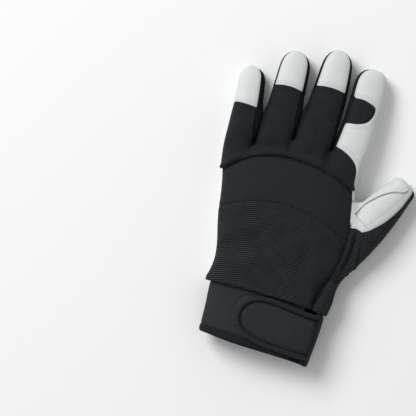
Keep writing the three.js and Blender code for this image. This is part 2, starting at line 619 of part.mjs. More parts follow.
cutSkin(bySeam('palmCloth'), (face) => onLowerThumb(face) || face.zone === 'handPalm');

// Which panel a face belongs to.
const webNames = fingers.slice(0, -1).map((finger, f) => `fourchette_${finger.name}_${fingers[f + 1].name}`);
function panelOf(face) {
  const p = centreOf(face.loop.map((a) => skin.points[a]));
  const left = (name) => lineFields[name](p) > 0;
  const { zone, finger: f, level, row } = face;
  const tipOrPanel = () => (capField(f, p) > 0 ? `${fingers[f].name}_tip_cap` : 'finger_back_panel');
  const indexBack = () => {
    if (patchField(p) < 0) return 'index_knuckle_patch';
    return left('indexPanel') ? 'index_wrap' : 'finger_back_panel';
  };
  const handBack = () => {
    if (row >= hemRow) return left('indexPanel') ? 'index_wrap' : 'finger_back_panel';
    if (row >= knitTopRow && !left('indexPanel')) return 'knuckle_band';
    if (row >= knitTopRow) return row >= thumbHole.to ? 'index_wrap' : 'palm_leather';
    if (!left('knitRight')) return 'knit_panel';
    return left('gussetBase') ? 'thumb_gusset' : 'wrist_gusset';
  };
  const upperThumb = () => {
    if (!left('thumbCloth')) return left('gussetOuter') ? 'thumb_outer_panel' : 'thumb_gusset';
    return left('thumbPiping') || !left('overlayBase') ? 'palm_leather' : 'thumb_overlay';
  };
  const lowerThumb = () => (left('palmCloth') ? 'palm_leather' : 'thumb_outer_panel');
  if (zone === 'web') return webNames[f];
  if (zone === 'fingerBack') return f === indexFinger ? indexBack() : tipOrPanel();
  if (zone === 'rightSide' && f < indexFinger) return webNames[f];
  if (zone === 'rightSide') return level < 2 ? 'index_wrap' : 'palm_leather';
  if (zone === 'leftSide') return f > 0 ? webNames[f - 1] : level < 2 ? tipOrPanel() : 'palm_leather';
  if (zone === 'fingerTip') {
    if (level === 2) return 'palm_leather';
    if (f === indexFinger) return 'index_wrap';
    return level === 0 || f === 0 ? `${fingers[f].name}_tip_cap` : webNames[f - 1];
  }
  if (zone === 'handBack') return handBack();
  if (zone === 'thumbSide' && row < thumbHole.from) return 'thumb_outer_panel';
  if (zone === 'thumbSide') return level < 2 ? 'index_wrap' : 'palm_leather';
  if (zone === 'outerSide') return level > 0 ? handBack() : 'palm_leather';
  if (zone === 'handPalm') return lowerThumb();
  if (zone === 'fingerPalm' || zone === 'thumbInner') return 'palm_leather';
  return onUpperThumb(face) ? upperThumb() : lowerThumb();
}

// Area-weighted normals of the skin.
function skinNormals() {
  const normals = skin.points.map(() => new THREE.Vector3());
  skin.faces.forEach(({ loop }) => {
    const whole = new THREE.Vector3();
    loop.forEach((a, i) => {
      whole.add(skin.points[a].clone().cross(skin.points[loop[(i + 1) % loop.length]]));
    });
    loop.forEach((a) => normals[a].add(whole));
  });
  return normals.map((n) => n.normalize());
}
// Folds press the skin in where they run, less towards their ends.
const foldEnd = 0.35; // share of the depth left at a fold's ends
const facing = 0.2; // least upward lean of a normal that counts as the back of the hand
const flatNormals = skinNormals();
skin.points.forEach((p, i) => {
  const n = flatNormals[i];
  const press = folds.reduce((sum, fold) => {
    if (n.z * fold.side < facing) return sum;
    const [a, b] = [planPoint(fold.from), planPoint(fold.to)];
    const way = b.clone().sub(a);
    const off = new THREE.Vector2(p.x, p.y).sub(a);
    const t = Math.min(Math.max(off.dot(way) / way.lengthSq(), 0), 1);
    const fade = Math.min(1, 4 * t * (1 - t) + foldEnd);
    return sum + fold.depth * fade * Math.exp(-((off.addScaledVector(way, -t).length() / fold.half) ** 2));
  }, 0);
  p.addScaledVector(n, -press);
  p.z = Math.max(p.z, 0);
});
const normals = skinNormals();

// Triangles of a small flat loop, fanned from the corner that leaves the fullest triangles.
function fanLoop(loop, at) {
  const area = (a, b, c) => at(b).clone().sub(at(a)).cross(at(c).clone().sub(at(a))).length();
  const fans = loop.map((_, s) => {
    const turned = [...loop.slice(s), ...loop.slice(0, s)];
    return turned.slice(1, -1).map((b, i) => [turned[0], b, turned[i + 2]]);
  });
  const worst = (fan) => Math.min(...fan.map((t) => area(...t)));
  return fans.reduce((best, fan) => (worst(fan) > worst(best) ? fan : best));
}

const sharpest = 0.35; // limits how far a sharp corner of a panel is drawn back
// A closed wall from faces of the skin: edges drawn back by half the seam gap, the outside lifted
// along the normals and the inside sunk by the wall.
function panelGeometry(faces, wall, liftAt) {
  const follow = new Map();
  const before = new Map();
  faces.forEach(({ loop }) => loop.forEach((a, i) => {
    const b = loop[(i + 1) % loop.length];
    follow.set(`${a}_${b}`, [a, b]);
  }));
  const rim = [...follow.values()].filter(([a, b]) => !follow.has(`${b}_${a}`));
  const next = new Map(rim);
  rim.forEach(([a, b]) => before.set(b, a));
  const places = new Map();
  const place = (a) => {
    if (places.has(a)) return places.get(a);
    const p = skin.points[a].clone();
    const n = normals[a];
    if (next.has(a)) {
      const inward = (from, to) => (
        n.clone().cross(skin.points[to].clone().sub(skin.points[from])).normalize());
      const [u, v] = [inward(before.get(a), a), inward(a, next.get(a))];
      const sum = u.clone().add(v);
      const size = Math.max(sum.lengthSq() / 2, sharpest);
      p.addScaledVector(sum, seamGap / 2 / size);
    }
    places.set(a, p);
    return p;
  };
  const corners = [];
  const outer = (a) => place(a).clone().addScaledVector(normals[a], liftAt(skin.points[a]));
  const inner = (a) => place(a).clone().addScaledVector(normals[a], -wall);
  faces.forEach(({ loop }) => fanLoop(loop, place).forEach(([a, b, c]) => {
    corners.push(outer(a), outer(b), outer(c), inner(a), inner(c), inner(b));
  }));
  rim.forEach(([a, b]) => corners.push(outer(a), inner(a), inner(b), outer(a), inner(b), outer(b)));
  return mergeVertices(new THREE.BufferGeometry().setFromPoints(corners), 1e-4);
}

// Height above a rolled hem line: full at the hem and gone a little way up the panel.
function rollAt(row, height, width) {
  const line = sideOfLine(handRings[row].slice(0, backCount).map((a) => skin.points[a].clone()));
  return (p) => height * Math.exp(-((line(p) / width) ** 2));
}
const leather = (wall = leatherWall) => ({ wall, lift: () => 0, colour: 0xd9dcda, roughness: 0.6 });
const cloth = (wall = clothWall) => ({ wall, lift: () => 0, colour: 0x1f2225, roughness: 0.95 });
const raised = (panel, height) => ({ ...panel, lift: () => height });
const panelKinds = {
  palm_leather: leather(),
  index_wrap: leather(),
  thumb_overlay: raised(leather(), overlayLift),
  finger_back_panel: { ...cloth(), lift: rollAt(hemRow, rollLift, rollWidth) },
  index_knuckle_patch: raised(cloth(), -patchSink),
  knuckle_band: { ...cloth(bandWall), colour: 0x26292c, roughness: 0.85 },
  knit_panel: { ...cloth(), lift: rollAt(wristRow, knitRollLift, rollWidth), colour: 0x23262a },
  thumb_gusset: cloth(),
  wrist_gusset: cloth(),
  thumb_outer_panel: cloth(),
};
const otherKind = (name) => (name.endsWith('tip_cap') ? raised(leather(), overlayLift) : cloth());
const kindOf = (name) => panelKinds[name] || otherKind(name);

const glove = new THREE.Group();
glove.name = 'mechanic_glove';
const palmRest = planPoint([-5, 34]);
glove.position.set(-palmRest.x, -palmRest.y, 0);
function addMesh(name, geometry, { colour, roughness }) {
  geometry.computeVertexNormals();
  const material = new THREE.MeshStandardMaterial({ color: colour, roughness, metalness: 0 });
  const mesh = new THREE.Mesh(geometry, material);
  mesh.name = name;
  glove.add(mesh);
}
const groups = new Map();
skin.faces.forEach((face) => {
  const name = panelOf(face);
  groups.set(name, [...(groups.get(name) || []), face]);
});
groups.forEach((faces, name) => {
  const kind = kindOf(name);
  addMesh(name, panelGeometry(faces, kind.wall, kind.lift), kind);
});

// A closed wall from a grid of points: outer and inner give the two faces at row r, column c.
function gridGeometry(rows, columns, outer, inner) {
  const corners = [];
  const quad = (a, b, c, d) => corners.push(a, b, c, a, c, d);
  for (let r = 0; r < rows; r += 1)
    for (let c = 0; c < columns; c += 1) {
      quad(outer(r, c), outer(r, c + 1), outer(r + 1, c + 1), outer(r + 1, c));
      quad(inner(r, c), inner(r + 1, c), inner(r + 1, c + 1), inner(r, c + 1));
    }
  for (let c = 0; c < columns; c += 1) {
    quad(inner(0, c), inner(0, c + 1), outer(0, c + 1), outer(0, c));
    quad(outer(rows, c), outer(rows, c + 1), inner(rows, c + 1), inner(rows, c));
  }
  for (let r = 0; r < rows; r += 1) {
    quad(inner(r + 1, 0), inner(r, 0), outer(r, 0), outer(r + 1, 0));
    quad(outer(r + 1, columns), outer(r, columns), inner(r, columns), inner(r + 1, columns));
  }
  return mergeVertices(new THREE.BufferGeometry().setFromPoints(corners), 1e-4);
}

// A rounded bar along a path. frameAt gives each path point's side and up directions.
function barGeometry(path, frameAt, section) {
  const ring = path.map((p, i) => {
    const { side, up } = frameAt(i);
    return section.map(([u, v]) => p.clone().addScaledVector(side, u).addScaledVector(up, v));
  });
  const corners = [];
  const around = section.length;
  for (let i = 0; i + 1 < ring.length; i += 1)
    for (let k = 0; k < around; k += 1) {
      const n = (k + 1) % around;
      corners.push(ring[i][k], ring[i + 1][n], ring[i][n], ring[i][k], ring[i + 1][k], ring[i + 1][n]);
    }
  for (let k = 1; k + 1 < around; k += 1) {
    const [first, last] = [ring[0], ring[ring.length - 1]];
    corners.push(first[0], first[k], first[k + 1], last[0], last[k + 1], last[k]);
  }
  return mergeVertices(new THREE.BufferGeometry().setFromPoints(corners), 1e-4);
}
const barSection = [[0.5, 0.2], [0.42, 0.72], [0.16, 1], [-0.16, 1], [-0.42, 0.72], [-0.5, 0.2], [-0.3, 0],
  [0.3, 0]];
const roundedBar = (width, height) => barSection.map(([u, v]) => [u * width, v * height]);

// The cuff's surface at an angle of its section and a place down it, with the way out of it.
function cuffSection(share) {
  const at = (column) => tableValue(cuffRows, 'at', column, share);
  const [left, right] = [across(at('left')), across(at('right'))];
  const [low, high] = [at('bottom'), at('top') * handHeight];
  return { x: (left + right) / 2, z: (high + low) / 2, half: (right - left) / 2, rise: (high - low) / 2 };
}
function cuffSpan(x, z) {
  const mid = z >= 0 ? cuffHem.back : cuffHem.palm;
  const edge = x < 0 ? cuffHem.left : cuffHem.right;
  const low = along(edge + (mid - edge) * (1 - Math.abs(x) ** seamArch));
  return { high: seamRowY(seamRows[0], x, z) + cuffTuck, low };
}
function cuffOut(x, z, { half, rise }) {
  const slope = (value, size) => (Math.sign(value) * Math.abs(value) ** (cuffPower - 1)) / size;
  return new THREE.Vector3(slope(x, half), 0, slope(z, rise)).normalize();
}
function cuffPoint(angle, place, lift) {
  const [x, z] = ovalPoint(angle, cuffPower);
  const { high, low } = cuffSpan(x, z);
  const y = place >= 0 ? high - place : low - place;
  const section = cuffSection((high - y) / (high - low));
  const p = new THREE.Vector3(section.x + x * section.half, y, section.z + z * section.rise);
  return p.addScaledVector(cuffOut(x, z, section), lift);
}
const slitAngle = (x) => {
  const section = cuffSection(0.5);
  return ovalAngle((across(x) - section.x) / section.half, cuffPower);
};
const [slitThumb, slitBack] = [slitAngle(slit.to), slitAngle(slit.from) - 2 * Math.PI];
const cuffAngle = (c) => lerp(slitBack, slitThumb, c / cuffColumns);
// Rows of the cuff body run from its tucked edge to the hem, and the hem goes on to the lower edge.
const bodyRows = 4;
function bodyPoint(r, c, lift) {
  const [x, z] = ovalPoint(cuffAngle(c), cuffPower);
  const { high, low } = cuffSpan(x, z);
  return cuffPoint(cuffAngle(c), ((high - low - hemWidth - seamGap) * r) / bodyRows, lift);
}
addMesh('cuff_body', gridGeometry(bodyRows, cuffColumns, (r, c) => bodyPoint(r, c, 0),
  (r, c) => bodyPoint(r, c, -cuffWall)), { colour: 0x202326, roughness: 0.85 });
// The hem is rounded over its lower edge. full is the share of hemLift.
const hemRows = [
  { down: 0, full: 0.15 }, { down: 0.3, full: 1 }, { down: 0.8, full: 0.9 }, { down: 1, full: -0.5 },
];
const hemPoint = (r, c, side) => {
  const { down, full } = hemRows[r];
  const half = cuffWall / 2 + hemLift * full;
  return cuffPoint(cuffAngle(c), -Math.max(hemWidth * (1 - down), 1e-6), side * half - cuffWall / 2);
};
addMesh('cuff_hem', gridGeometry(hemRows.length - 1, cuffColumns, (r, c) => hemPoint(r, c, 1),
  (r, c) => hemPoint(r, c, -1)), { colour: 0x1c1f22, roughness: 0.8 });

// A point lifted above the back of the cuff at a plan place, short of the cuff's very edge.
const edgeShare = 0.999;
function onCuff(x, y, lift) {
  let section = cuffSection(0.5);
  for (let pass = 0; pass < 2; pass += 1) {
    const share = (x - section.x) / section.half;
    const { high, low } = cuffSpan(share, 1);
    section = cuffSection((high - y) / (high - low));
  }
  const share = (x - section.x) / section.half;
  const level = (1 - Math.min(Math.abs(share), edgeShare) ** cuffPower) ** (1 / cuffPower);
  const out = cuffOut(share, level, section);
  return { out, p: new THREE.Vector3(x, y, section.z + level * section.rise).addScaledVector(out, lift) };
}
// Points along a plan outline drawn in from it, evenly spaced, upper end first.
function insetOutline(outline, inset, count) {
  const curve = new THREE.CatmullRomCurve3(outline.map((pair) => {
    const p = planPoint(pair);
    return new THREE.Vector3(p.x, p.y, 0);
  }), false, 'centripetal');
  return Array.from({ length: count + 1 }, (_, i) => {
    const way = curve.getTangentAt(i / count);
    return curve.getPointAt(i / count).addScaledVector(new THREE.Vector3(-way.y, way.x, 0), inset);
  });
}
// A patch over the cuff between the upper and lower halves of an outline.
function cuffPatch({ outline, inset, columns, rows, lift, wall, dome }) {
  const points = insetOutline(outline, inset, 2 * columns + 1);
  const place = (r, c, height) => {
    const p = points[c].clone().lerp(points[2 * columns + 1 - c], r / rows);
    return onCuff(p.x, p.y, height).p;
  };
  const swell = (r) => dome * (1 - (2 * r / rows - 1) ** 2);
  const outer = (r, c) => place(r, c, lift + wall + swell(r));
  return gridGeometry(rows, columns, outer, (r, c) => place(r, c, lift));
}
addMesh('strap_panel', cuffPatch({
  outline: strapOutline, inset: bindingWidth + 2 * seamGap, columns: strapColumns, rows: strapRows,
  lift: strapLift, wall: strapWall, dome: strapDome,
}), { colour: 0x24272a, roughness: 0.85 });
addMesh('strap_loop_pad', cuffPatch({
  outline: loopPadOutline, inset: 0, columns: loopPadColumns, rows: loopPadRows, lift: seamGap,
  wall: loopPadWall, dome: 0,
}), { colour: 0x1d2023, roughness: 0.95 });
const bindingSteps = 20;
const bindingPath = insetOutline(strapOutline, bindingWidth / 2, bindingSteps);
const bindingPlaces = bindingPath.map((p) => onCuff(p.x, p.y, strapLift));
addMesh('strap_binding', barGeometry(bindingPlaces.map((place) => place.p), (i) => {
  const way = bindingPath[Math.min(i + 1, bindingSteps)].clone().sub(bindingPath[Math.max(i - 1, 0)]);
  const up = bindingPlaces[i].out;
  return { side: way.cross(up).normalize(), up };
}, roundedBar(bindingWidth, bindingHeight)), { colour: 0x1b1e21, roughness: 0.7 });

// The piping lies over the seam at the overlay's outer edge.
const onPiping = new Map();
skin.faces.filter(onUpperThumb).forEach((face) => {
  const side = lineFields.thumbPiping(centreOf(face.loop.map((a) => skin.points[a]))) > 0;
  face.loop.forEach((a) => onPiping.set(a, [...(onPiping.get(a) || []), side]));
});
const onSeam = (a) => Math.abs(lineFields.thumbPiping(skin.points[a])) < pipingWidth && normals[a].z > facing;
const pipingPoints = [...onPiping].map(([a]) => a)
  .filter((a) => onPiping.get(a).includes(true) && onPiping.get(a).includes(false) && onSeam(a))
  .sort((a, b) => skin.points[a].x + skin.points[a].y - skin.points[b].x - skin.points[b].y);
const pipingPath = new THREE.CatmullRomCurve3(pipingPoints.map((a) => skin.points[a].clone()
  .addScaledVector(normals[a], overlayLift + 2 * seamGap)), false, 'centripetal');
const pipingUp = new THREE.CatmullRomCurve3(pipingPoints.map((a) => normals[a]), false, 'centripetal');
const pipingSteps = 14;
addMesh('thumb_piping', barGeometry(pipingPath.getSpacedPoints(pipingSteps), (i) => {
  const share = lerp(0.002, 0.998, i / pipingSteps);
  const up = pipingUp.getPoint(pipingPath.getUtoTmapping(share)).normalize();
  return { side: pipingPath.getTangentAt(share).cross(up).normalize(), up };
}, roundedBar(pipingWidth, pipingHeight)), { colour: 0xd2d6d3, roughness: 0.6 });

export default glove;
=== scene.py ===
import math

import bmesh
import bpy
import numpy as np
from mathutils import Matrix, Vector, kdtree, noise
from mathutils.bvhtree import BVHTree


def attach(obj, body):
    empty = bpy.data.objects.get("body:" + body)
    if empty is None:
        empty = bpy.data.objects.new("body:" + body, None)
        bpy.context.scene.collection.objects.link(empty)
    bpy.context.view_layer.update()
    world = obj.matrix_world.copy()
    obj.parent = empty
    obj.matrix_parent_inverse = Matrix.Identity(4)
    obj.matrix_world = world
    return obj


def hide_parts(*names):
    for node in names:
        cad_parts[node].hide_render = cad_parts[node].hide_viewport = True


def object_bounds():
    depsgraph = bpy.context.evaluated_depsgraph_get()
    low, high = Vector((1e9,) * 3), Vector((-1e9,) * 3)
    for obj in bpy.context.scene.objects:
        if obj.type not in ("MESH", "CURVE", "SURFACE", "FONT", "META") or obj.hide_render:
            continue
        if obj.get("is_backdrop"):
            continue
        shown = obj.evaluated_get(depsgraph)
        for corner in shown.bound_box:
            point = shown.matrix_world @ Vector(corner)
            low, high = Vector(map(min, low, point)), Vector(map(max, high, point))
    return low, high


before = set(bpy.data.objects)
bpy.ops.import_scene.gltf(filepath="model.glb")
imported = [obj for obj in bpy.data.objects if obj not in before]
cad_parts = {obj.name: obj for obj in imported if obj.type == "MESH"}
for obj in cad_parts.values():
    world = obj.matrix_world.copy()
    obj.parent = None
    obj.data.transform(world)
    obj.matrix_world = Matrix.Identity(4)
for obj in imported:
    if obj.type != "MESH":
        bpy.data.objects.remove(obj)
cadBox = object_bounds()
print("frame loaded")

# Plan places are millimetres on the hand, from the middle of the cuff's hem:
# x thumbwards and y to the fingertips.
handOrigin = np.array([5.55, -83.98, 0.0])


def rowPoint(x, y, z=0.0):
    return Vector((x + handOrigin[0], y + handOrigin[1], z)) / 1000


# Middle lines of the hand's hollows, palm first. They tell the outside of a panel from its inside.
hollows = [
    [(0, 20, 17), (0, 110, 17)], [(-56, 145, 14), (-58, 195, 12)], [(-28, 150, 15), (-28, 215, 12)],
    [(2, 160, 15), (4, 225, 12)], [(33, 155, 15), (34, 220, 12)], [(50, 95, 14), (68, 118, 12)],
    [(68, 118, 12), (80, 148, 12)],
]


# Materials. A Wire is one socket's value, and an expression on wires adds its Math nodes.
class Wire:
    def __init__(self, finish, socket):
        self.finish, self.socket = finish, socket

    def maths(self, operation, *others):
        values = (self, *others)
        return self.finish.add("ShaderNodeMath", {"operation": operation}, dict(enumerate(values)))

    def __add__(self, other):
        return self.maths("ADD", other)

    __radd__ = __add__

    def __mul__(self, other):
        return self.maths("MULTIPLY", other)

    __rmul__ = __mul__

    def __sub__(self, other):
        return self.maths("SUBTRACT", other)

    def __rsub__(self, other):
        return self.finish.add("ShaderNodeMath", {"operation": "SUBTRACT"}, {0: other, 1: self})

    def __truediv__(self, other):
        return self.maths("DIVIDE", other)


class Finish:
    def __init__(self, name, **constants):
        self.material = bpy.data.materials.new(name)
        self.material.use_nodes = True
        self.tree = self.material.node_tree
        self.shader = self.tree.nodes["Principled BSDF"]
        self.feed(self.shader, {key.replace("_", " "): value for key, value in constants.items()})

    def feed(self, node, sockets):
        for key, value in sockets.items():
            if isinstance(value, Wire):
                self.tree.links.new(value.socket, node.inputs[key])
            else:
                node.inputs[key].default_value = value

    # Any node: its settings first, then its sockets.
    def add(self, kind, settings=None, sockets=None, out=0):
        node = self.tree.nodes.new(kind)
        for key, value in (settings or {}).items():
            setattr(node, key, value)
        self.feed(node, sockets or {})
        return Wire(self, node.outputs[out])

    # Object coordinates, or the piece's own cloth coordinates.
    def place(self, attribute=None):
        if attribute:
            return self.add("ShaderNodeAttribute", {"attribute_name": attribute}, out="Vector")
        return self.add("ShaderNodeTexCoord", out="Object")

    def parts(self, vector):
        node = self.add("ShaderNodeSeparateXYZ", sockets={0: vector}).socket.node
        return [Wire(self, socket) for socket in node.outputs]

    def clouds(self, vector, scale, detail=2.0, roughness=0.5):
        return self.add("ShaderNodeTexNoise", None,
                        {"Vector": vector, "Scale": scale, "Detail": detail, "Roughness": roughness})

    def mixed(self, share, first, second):
        return self.add("ShaderNodeMix", {"data_type": "RGBA"}, {0: share, 6: first, 7: second}, out=2)

    # A roughness of None leaves the shader's own.
    def finish(self, colour, roughness, height, depth):
        bump = self.add("ShaderNodeBump", None, {"Height": height, "Distance": depth, "Strength": 1.0})
        found = {"Base Color": colour, "Roughness": roughness, "Normal": bump}
        self.feed(self.shader, {key: value for key, value in found.items() if value is not None})
        return self.material


def rgba(*levels):
    return (*levels, 1.0)


# Sizes are repeats to a metre, and depths are metres.
goatskinLook = {"light": rgba(0.70, 0.73, 0.71), "shade": rgba(0.60, 0.635, 0.62), "gloss": 0.3, "clouds": 60,
                "grain": 900, "pores": 1.7, "creases": 190, "creaseEdge": 7.0, "depth": 0.00008}
suedeLook = {**goatskinLook, "light": rgba(0.62, 0.62, 0.58), "shade": rgba(0.45, 0.46, 0.43),
             "grain": 500, "depth": 0.00015}


def leatherFinish(name, look):
    made = Finish(name, Specular_IOR_Level=look["gloss"])
    at = made.place()
    broad = made.clouds(at, look["clouds"], 3)
    grain = made.add("ShaderNodeTexVoronoi", {"feature": "F1"}, {"Vector": at, "Scale": look["grain"]})
    pores = made.clouds(at, look["grain"] * look["pores"], 3, 0.6)
    creases = made.add("ShaderNodeTexVoronoi", {"feature": "DISTANCE_TO_EDGE"},
                       {"Vector": at, "Scale": look["creases"]})
    # Creases sink into the bump, and the same mask darkens the colour along them: painted shade in the
    # creases.
    creaseAndShade = (1.0 - creases * look["creaseEdge"]).maths("MAXIMUM", 0.0) * broad
    colour = made.mixed(broad * 0.8 + pores * 0.2 - creaseAndShade * 0.25, look["shade"], look["light"])
    height = grain * 0.5 + pores * 0.6 + broad * 1.5 - creaseAndShade * 0.9
    return made.finish(colour, 0.52 + 0.16 * pores, height, look["depth"])


# A wave between 0 and 1, once round for each whole number of turns.
def ripple(turns):
    return (turns * (2 * math.pi)).maths("SINE") * 0.5 + 0.5


# Weave of rows: ribs across the cloth, broken into dashes that step from row to row.
def weave(across, down, look):
    rows = down / look["row"]
    stagger = (rows.maths("FLOOR") * 0.5).maths("FRACT")
    dash = ripple(across / look["dash"] + stagger)
    return ripple(rows) * ((1 - look["dashShare"]) + dash * look["dashShare"])


# What all cloths share: rows that drift a little, in millimetres, and fuzz between them.
clothLook = {"swaySize": 0.09, "drift": 0.6, "shading": 0.5, "fuzzSize": 3.2}


def clothFinish(name, look):
    made = Finish(name, Specular_IOR_Level=look["gloss"])
    at = made.place("cloth")
    sway = made.clouds(at, clothLook["swaySize"], 2) - 0.5
    u, v, _ = made.parts(at)
    drift = sway * clothLook["drift"]
    threadsAndShade = weave(u + drift, v + drift, look)
    fuzz = made.clouds(at, clothLook["fuzzSize"], 4, 0.7)
    # The colour follows the weave's bump and darkens where it sinks: painted shade in the grooves between
    # rows and dashes. Fuzz and sway add random tone.
    tone = threadsAndShade * look["grooveShade"] + fuzz * (1 - look["grooveShade"]) + sway * clothLook["shading"]
    colour = made.mixed(tone, look["dark"], look["light"])
    return made.finish(colour, 0.95 - 0.1 * threadsAndShade, threadsAndShade + fuzz * 0.5, look["depth"])


# Rows and dashes are millimetres, and depths are metres. Dark is painted shade in the weave's grooves, light
# is the cloth on its threads.
foam = {"row": 0.42, "dash": 0.6, "dashShare": 0.5, "grooveShade": 0.25, "depth": 0.00006, "gloss": 0.3}
looks = {
    "fineKnit": {"row": 1.15, "dash": 1.9, "dashShare": 0.65, "grooveShade": 0.75, "depth": 0.0003,
                 "gloss": 0.3, "dark": rgba(0.0022, 0.0036, 0.0046), "light": rgba(0.025, 0.031, 0.035)},
    "stretchCloth": {"row": 0.6, "dash": 0.9, "dashShare": 0.4, "grooveShade": 0.5, "depth": 0.0001,
                     "gloss": 0.12, "dark": rgba(0.005, 0.007, 0.0085), "light": rgba(0.016, 0.020, 0.023)},
    "bandFoam": {**foam, "dark": rgba(0.0085, 0.0118, 0.0148), "light": rgba(0.0175, 0.0215, 0.025)},
    "ribbedKnit": {"row": 1.65, "dash": 4.0, "dashShare": 0.4, "grooveShade": 0.85, "depth": 0.0006,
                   "gloss": 0.3, "dark": rgba(0.0012, 0.0022, 0.003), "light": rgba(0.037, 0.044, 0.049)},
    "cuffFoam": {**foam, "dark": rgba(0.0165, 0.0195, 0.022), "light": rgba(0.027, 0.031, 0.034)},
    "strapFoam": {**foam, "dark": rgba(0.0155, 0.0185, 0.021), "light": rgba(0.026, 0.030, 0.033)},
    "hemTape": {"row": 0.7, "dash": 0.7, "dashShare": 0.5, "grooveShade": 0.5, "depth": 0.00012,
                "gloss": 0.3, "dark": rgba(0.0045, 0.006, 0.008), "light": rgba(0.013, 0.016, 0.019)},
    "loopPile": {"row": 0.9, "dash": 0.9, "dashShare": 0.8, "grooveShade": 0.5, "depth": 0.0003,
                 "gloss": 0.2, "dark": rgba(0.009, 0.011, 0.0125), "light": rgba(0.085, 0.092, 0.096)},
    "bindingTape": {"row": 0.6, "dash": 0.6, "dashShare": 0.5, "grooveShade": 0.4, "depth": 0.0001,
                    "gloss": 0.5, "dark": rgba(0.0045, 0.006, 0.0075), "light": rgba(0.012, 0.015, 0.0175)},
    "lining": {"row": 0.9, "dash": 1.1, "dashShare": 0.4, "grooveShade": 0.5, "depth": 0.00015,
               "gloss": 0.12, "dark": rgba(0.008, 0.0095, 0.011), "light": rgba(0.02, 0.023, 0.026)},
}
finishes = {name: clothFinish(name, look) for name, look in looks.items()}
finishes["goatskin"] = leatherFinish("goatskin", goatskinLook)
finishes["suede"] = leatherFinish("suede", suedeLook)


# Thread with a fine twist. Its colour is darker in the twist's grooves: painted shade.
threadLooks = {
    # The pale thread is greyer than the leather: painted shade of its stitch holes on the thread's own pale
    # tone.
    "shadedPaleThread": {"light": rgba(0.60, 0.64, 0.63), "dark": rgba(0.40, 0.44, 0.44)},
    "darkThread": {"light": rgba(0.010, 0.012, 0.014), "dark": rgba(0.004, 0.005, 0.006)},
}


def threadFinish(name, look):
    made = Finish(name, Roughness=0.6, Specular_IOR_Level=0.3)
    u, v, _ = made.parts(made.place("cloth"))
    twistAndShade = ((u + v * 0.6) * 16.0).maths("SINE") * 0.5 + 0.5
    return made.finish(made.mixed(twistAndShade, look["dark"], look["light"]), None, twistAndShade, 0.00005)


finishes.update({name: threadFinish(name, look) for name, look in threadLooks.items()})
print("finishes made")


# Joins faces into patches that bend less than an angle from face to face.
def patches(faces, bend):
    groups, left = [], set(faces)
    while left:
        group, queue = [], [left.pop()]
        while queue:
            face = queue.pop()
            group.append(face)
            for edge in face.edges:
                for other in edge.link_faces:
                    if other in left and edge.calc_face_angle(3) < bend:
                        left.remove(other)
                        queue.append(other)
        groups.append(group)
    return groups


# How the faces of a wall are told apart. A thin wall is one that a ray finds within thin times the
# usual thickness, and a side is sure when its faces lean that much away from the hollows.
sorting = {"bend": math.radians(28), "step": 2e-5, "facing": -0.6, "thin": 2.2, "sure": 0.15, "softBend": 1.1}
noWall = 1.0  # stands for the thickness where no wall is found


# Sorts the faces of a closed wall: material 0 on its outside, 1 on its inside and 2 round its rim.
def sortSides(bm):
    bm.normal_update()
    tree = BVHTree.FromBMesh(bm)
    area = {face: face.calc_area() for face in bm.faces}
    thick, outward = {}, {}
    for face in bm.faces:
        centre = face.calc_center_median()
        _, normal, _, depth = tree.ray_cast(centre - face.normal * sorting["step"], -face.normal)
        opposite = normal is not None and normal.dot(face.normal) < sorting["facing"]
        thick[face] = depth if opposite else noWall
        outward[face] = face.normal.dot((centre - nearestHollow(centre)).normalized())
    ranked = sorted((thick[face], area[face]) for face in bm.faces if thick[face] < noWall)
    reached, half = 0.0, sum(size for _, size in ranked) / 2
    for wall, size in ranked:
        reached += size
        if reached > half:
            break
    unsure = []
    for patch in patches(bm.faces, sorting["bend"]):
        whole = sum(area[face] for face in patch)
        thin = sum(area[face] for face in patch if thick[face] < sorting["thin"] * wall)
        lean = sum(area[face] * outward[face] for face in patch) / whole
        side = 2 if thin < whole / 2 else int(lean < 0)
        if side != 2 and abs(lean) < sorting["sure"]:
            unsure.append(patch)
            side = 3  # for now
        for face in patch:
            face.material_index = side
    for patch in unsure:  # goes with the side it shares most of its soft edges with
        shared = [0.0, 0.0]
        for face in patch:
            for edge in face.edges:
                for other in edge.link_faces:
                    if other.material_index < 2 and edge.calc_face_angle(3) < sorting["softBend"]:
                        shared[other.material_index] += edge.calc_length()
        for face in patch:
            face.material_index = int(shared[1] > shared[0])


def nearestHollow(point):
    best = None
    for start, end in hollows:
        a, b = rowPoint(*start), rowPoint(*end)
        share = max(0.0, min(1.0, (point - a).dot(b - a) / (b - a).length_squared))
        spot = a.lerp(b, share)
        if best is None or (spot - point).length < (best - point).length:
            best = spot
    return best


def isRimEdge(edge):
    return len({face.material_index == 2 for face in edge.link_faces}) > 1


# Seams turn in a round bow at these places: x, y and reach on the plan.
roundTurns = [
    (-41, 150.5, 9), (-12.5, 164, 9), (16, 164, 9), (-42.5, 159, 7), (-13.5, 171.5, 7), (17.5, 171.5, 7),
    (34, 203, 16), (-49, 41, 5), (-63, 129.4, 5), (42.5, 56, 6), (-58, 214, 12), (-28, 232, 12),
    (4.5, 241, 12),
]
cornerBend = math.radians(38)  # a seam that bends less than this is no corner


def turnsRound(point):
    place = np.array(point) * 1000 - handOrigin
    return any(math.hypot(place[0] - x, place[1] - y) < reach for x, y, reach in roundTurns)


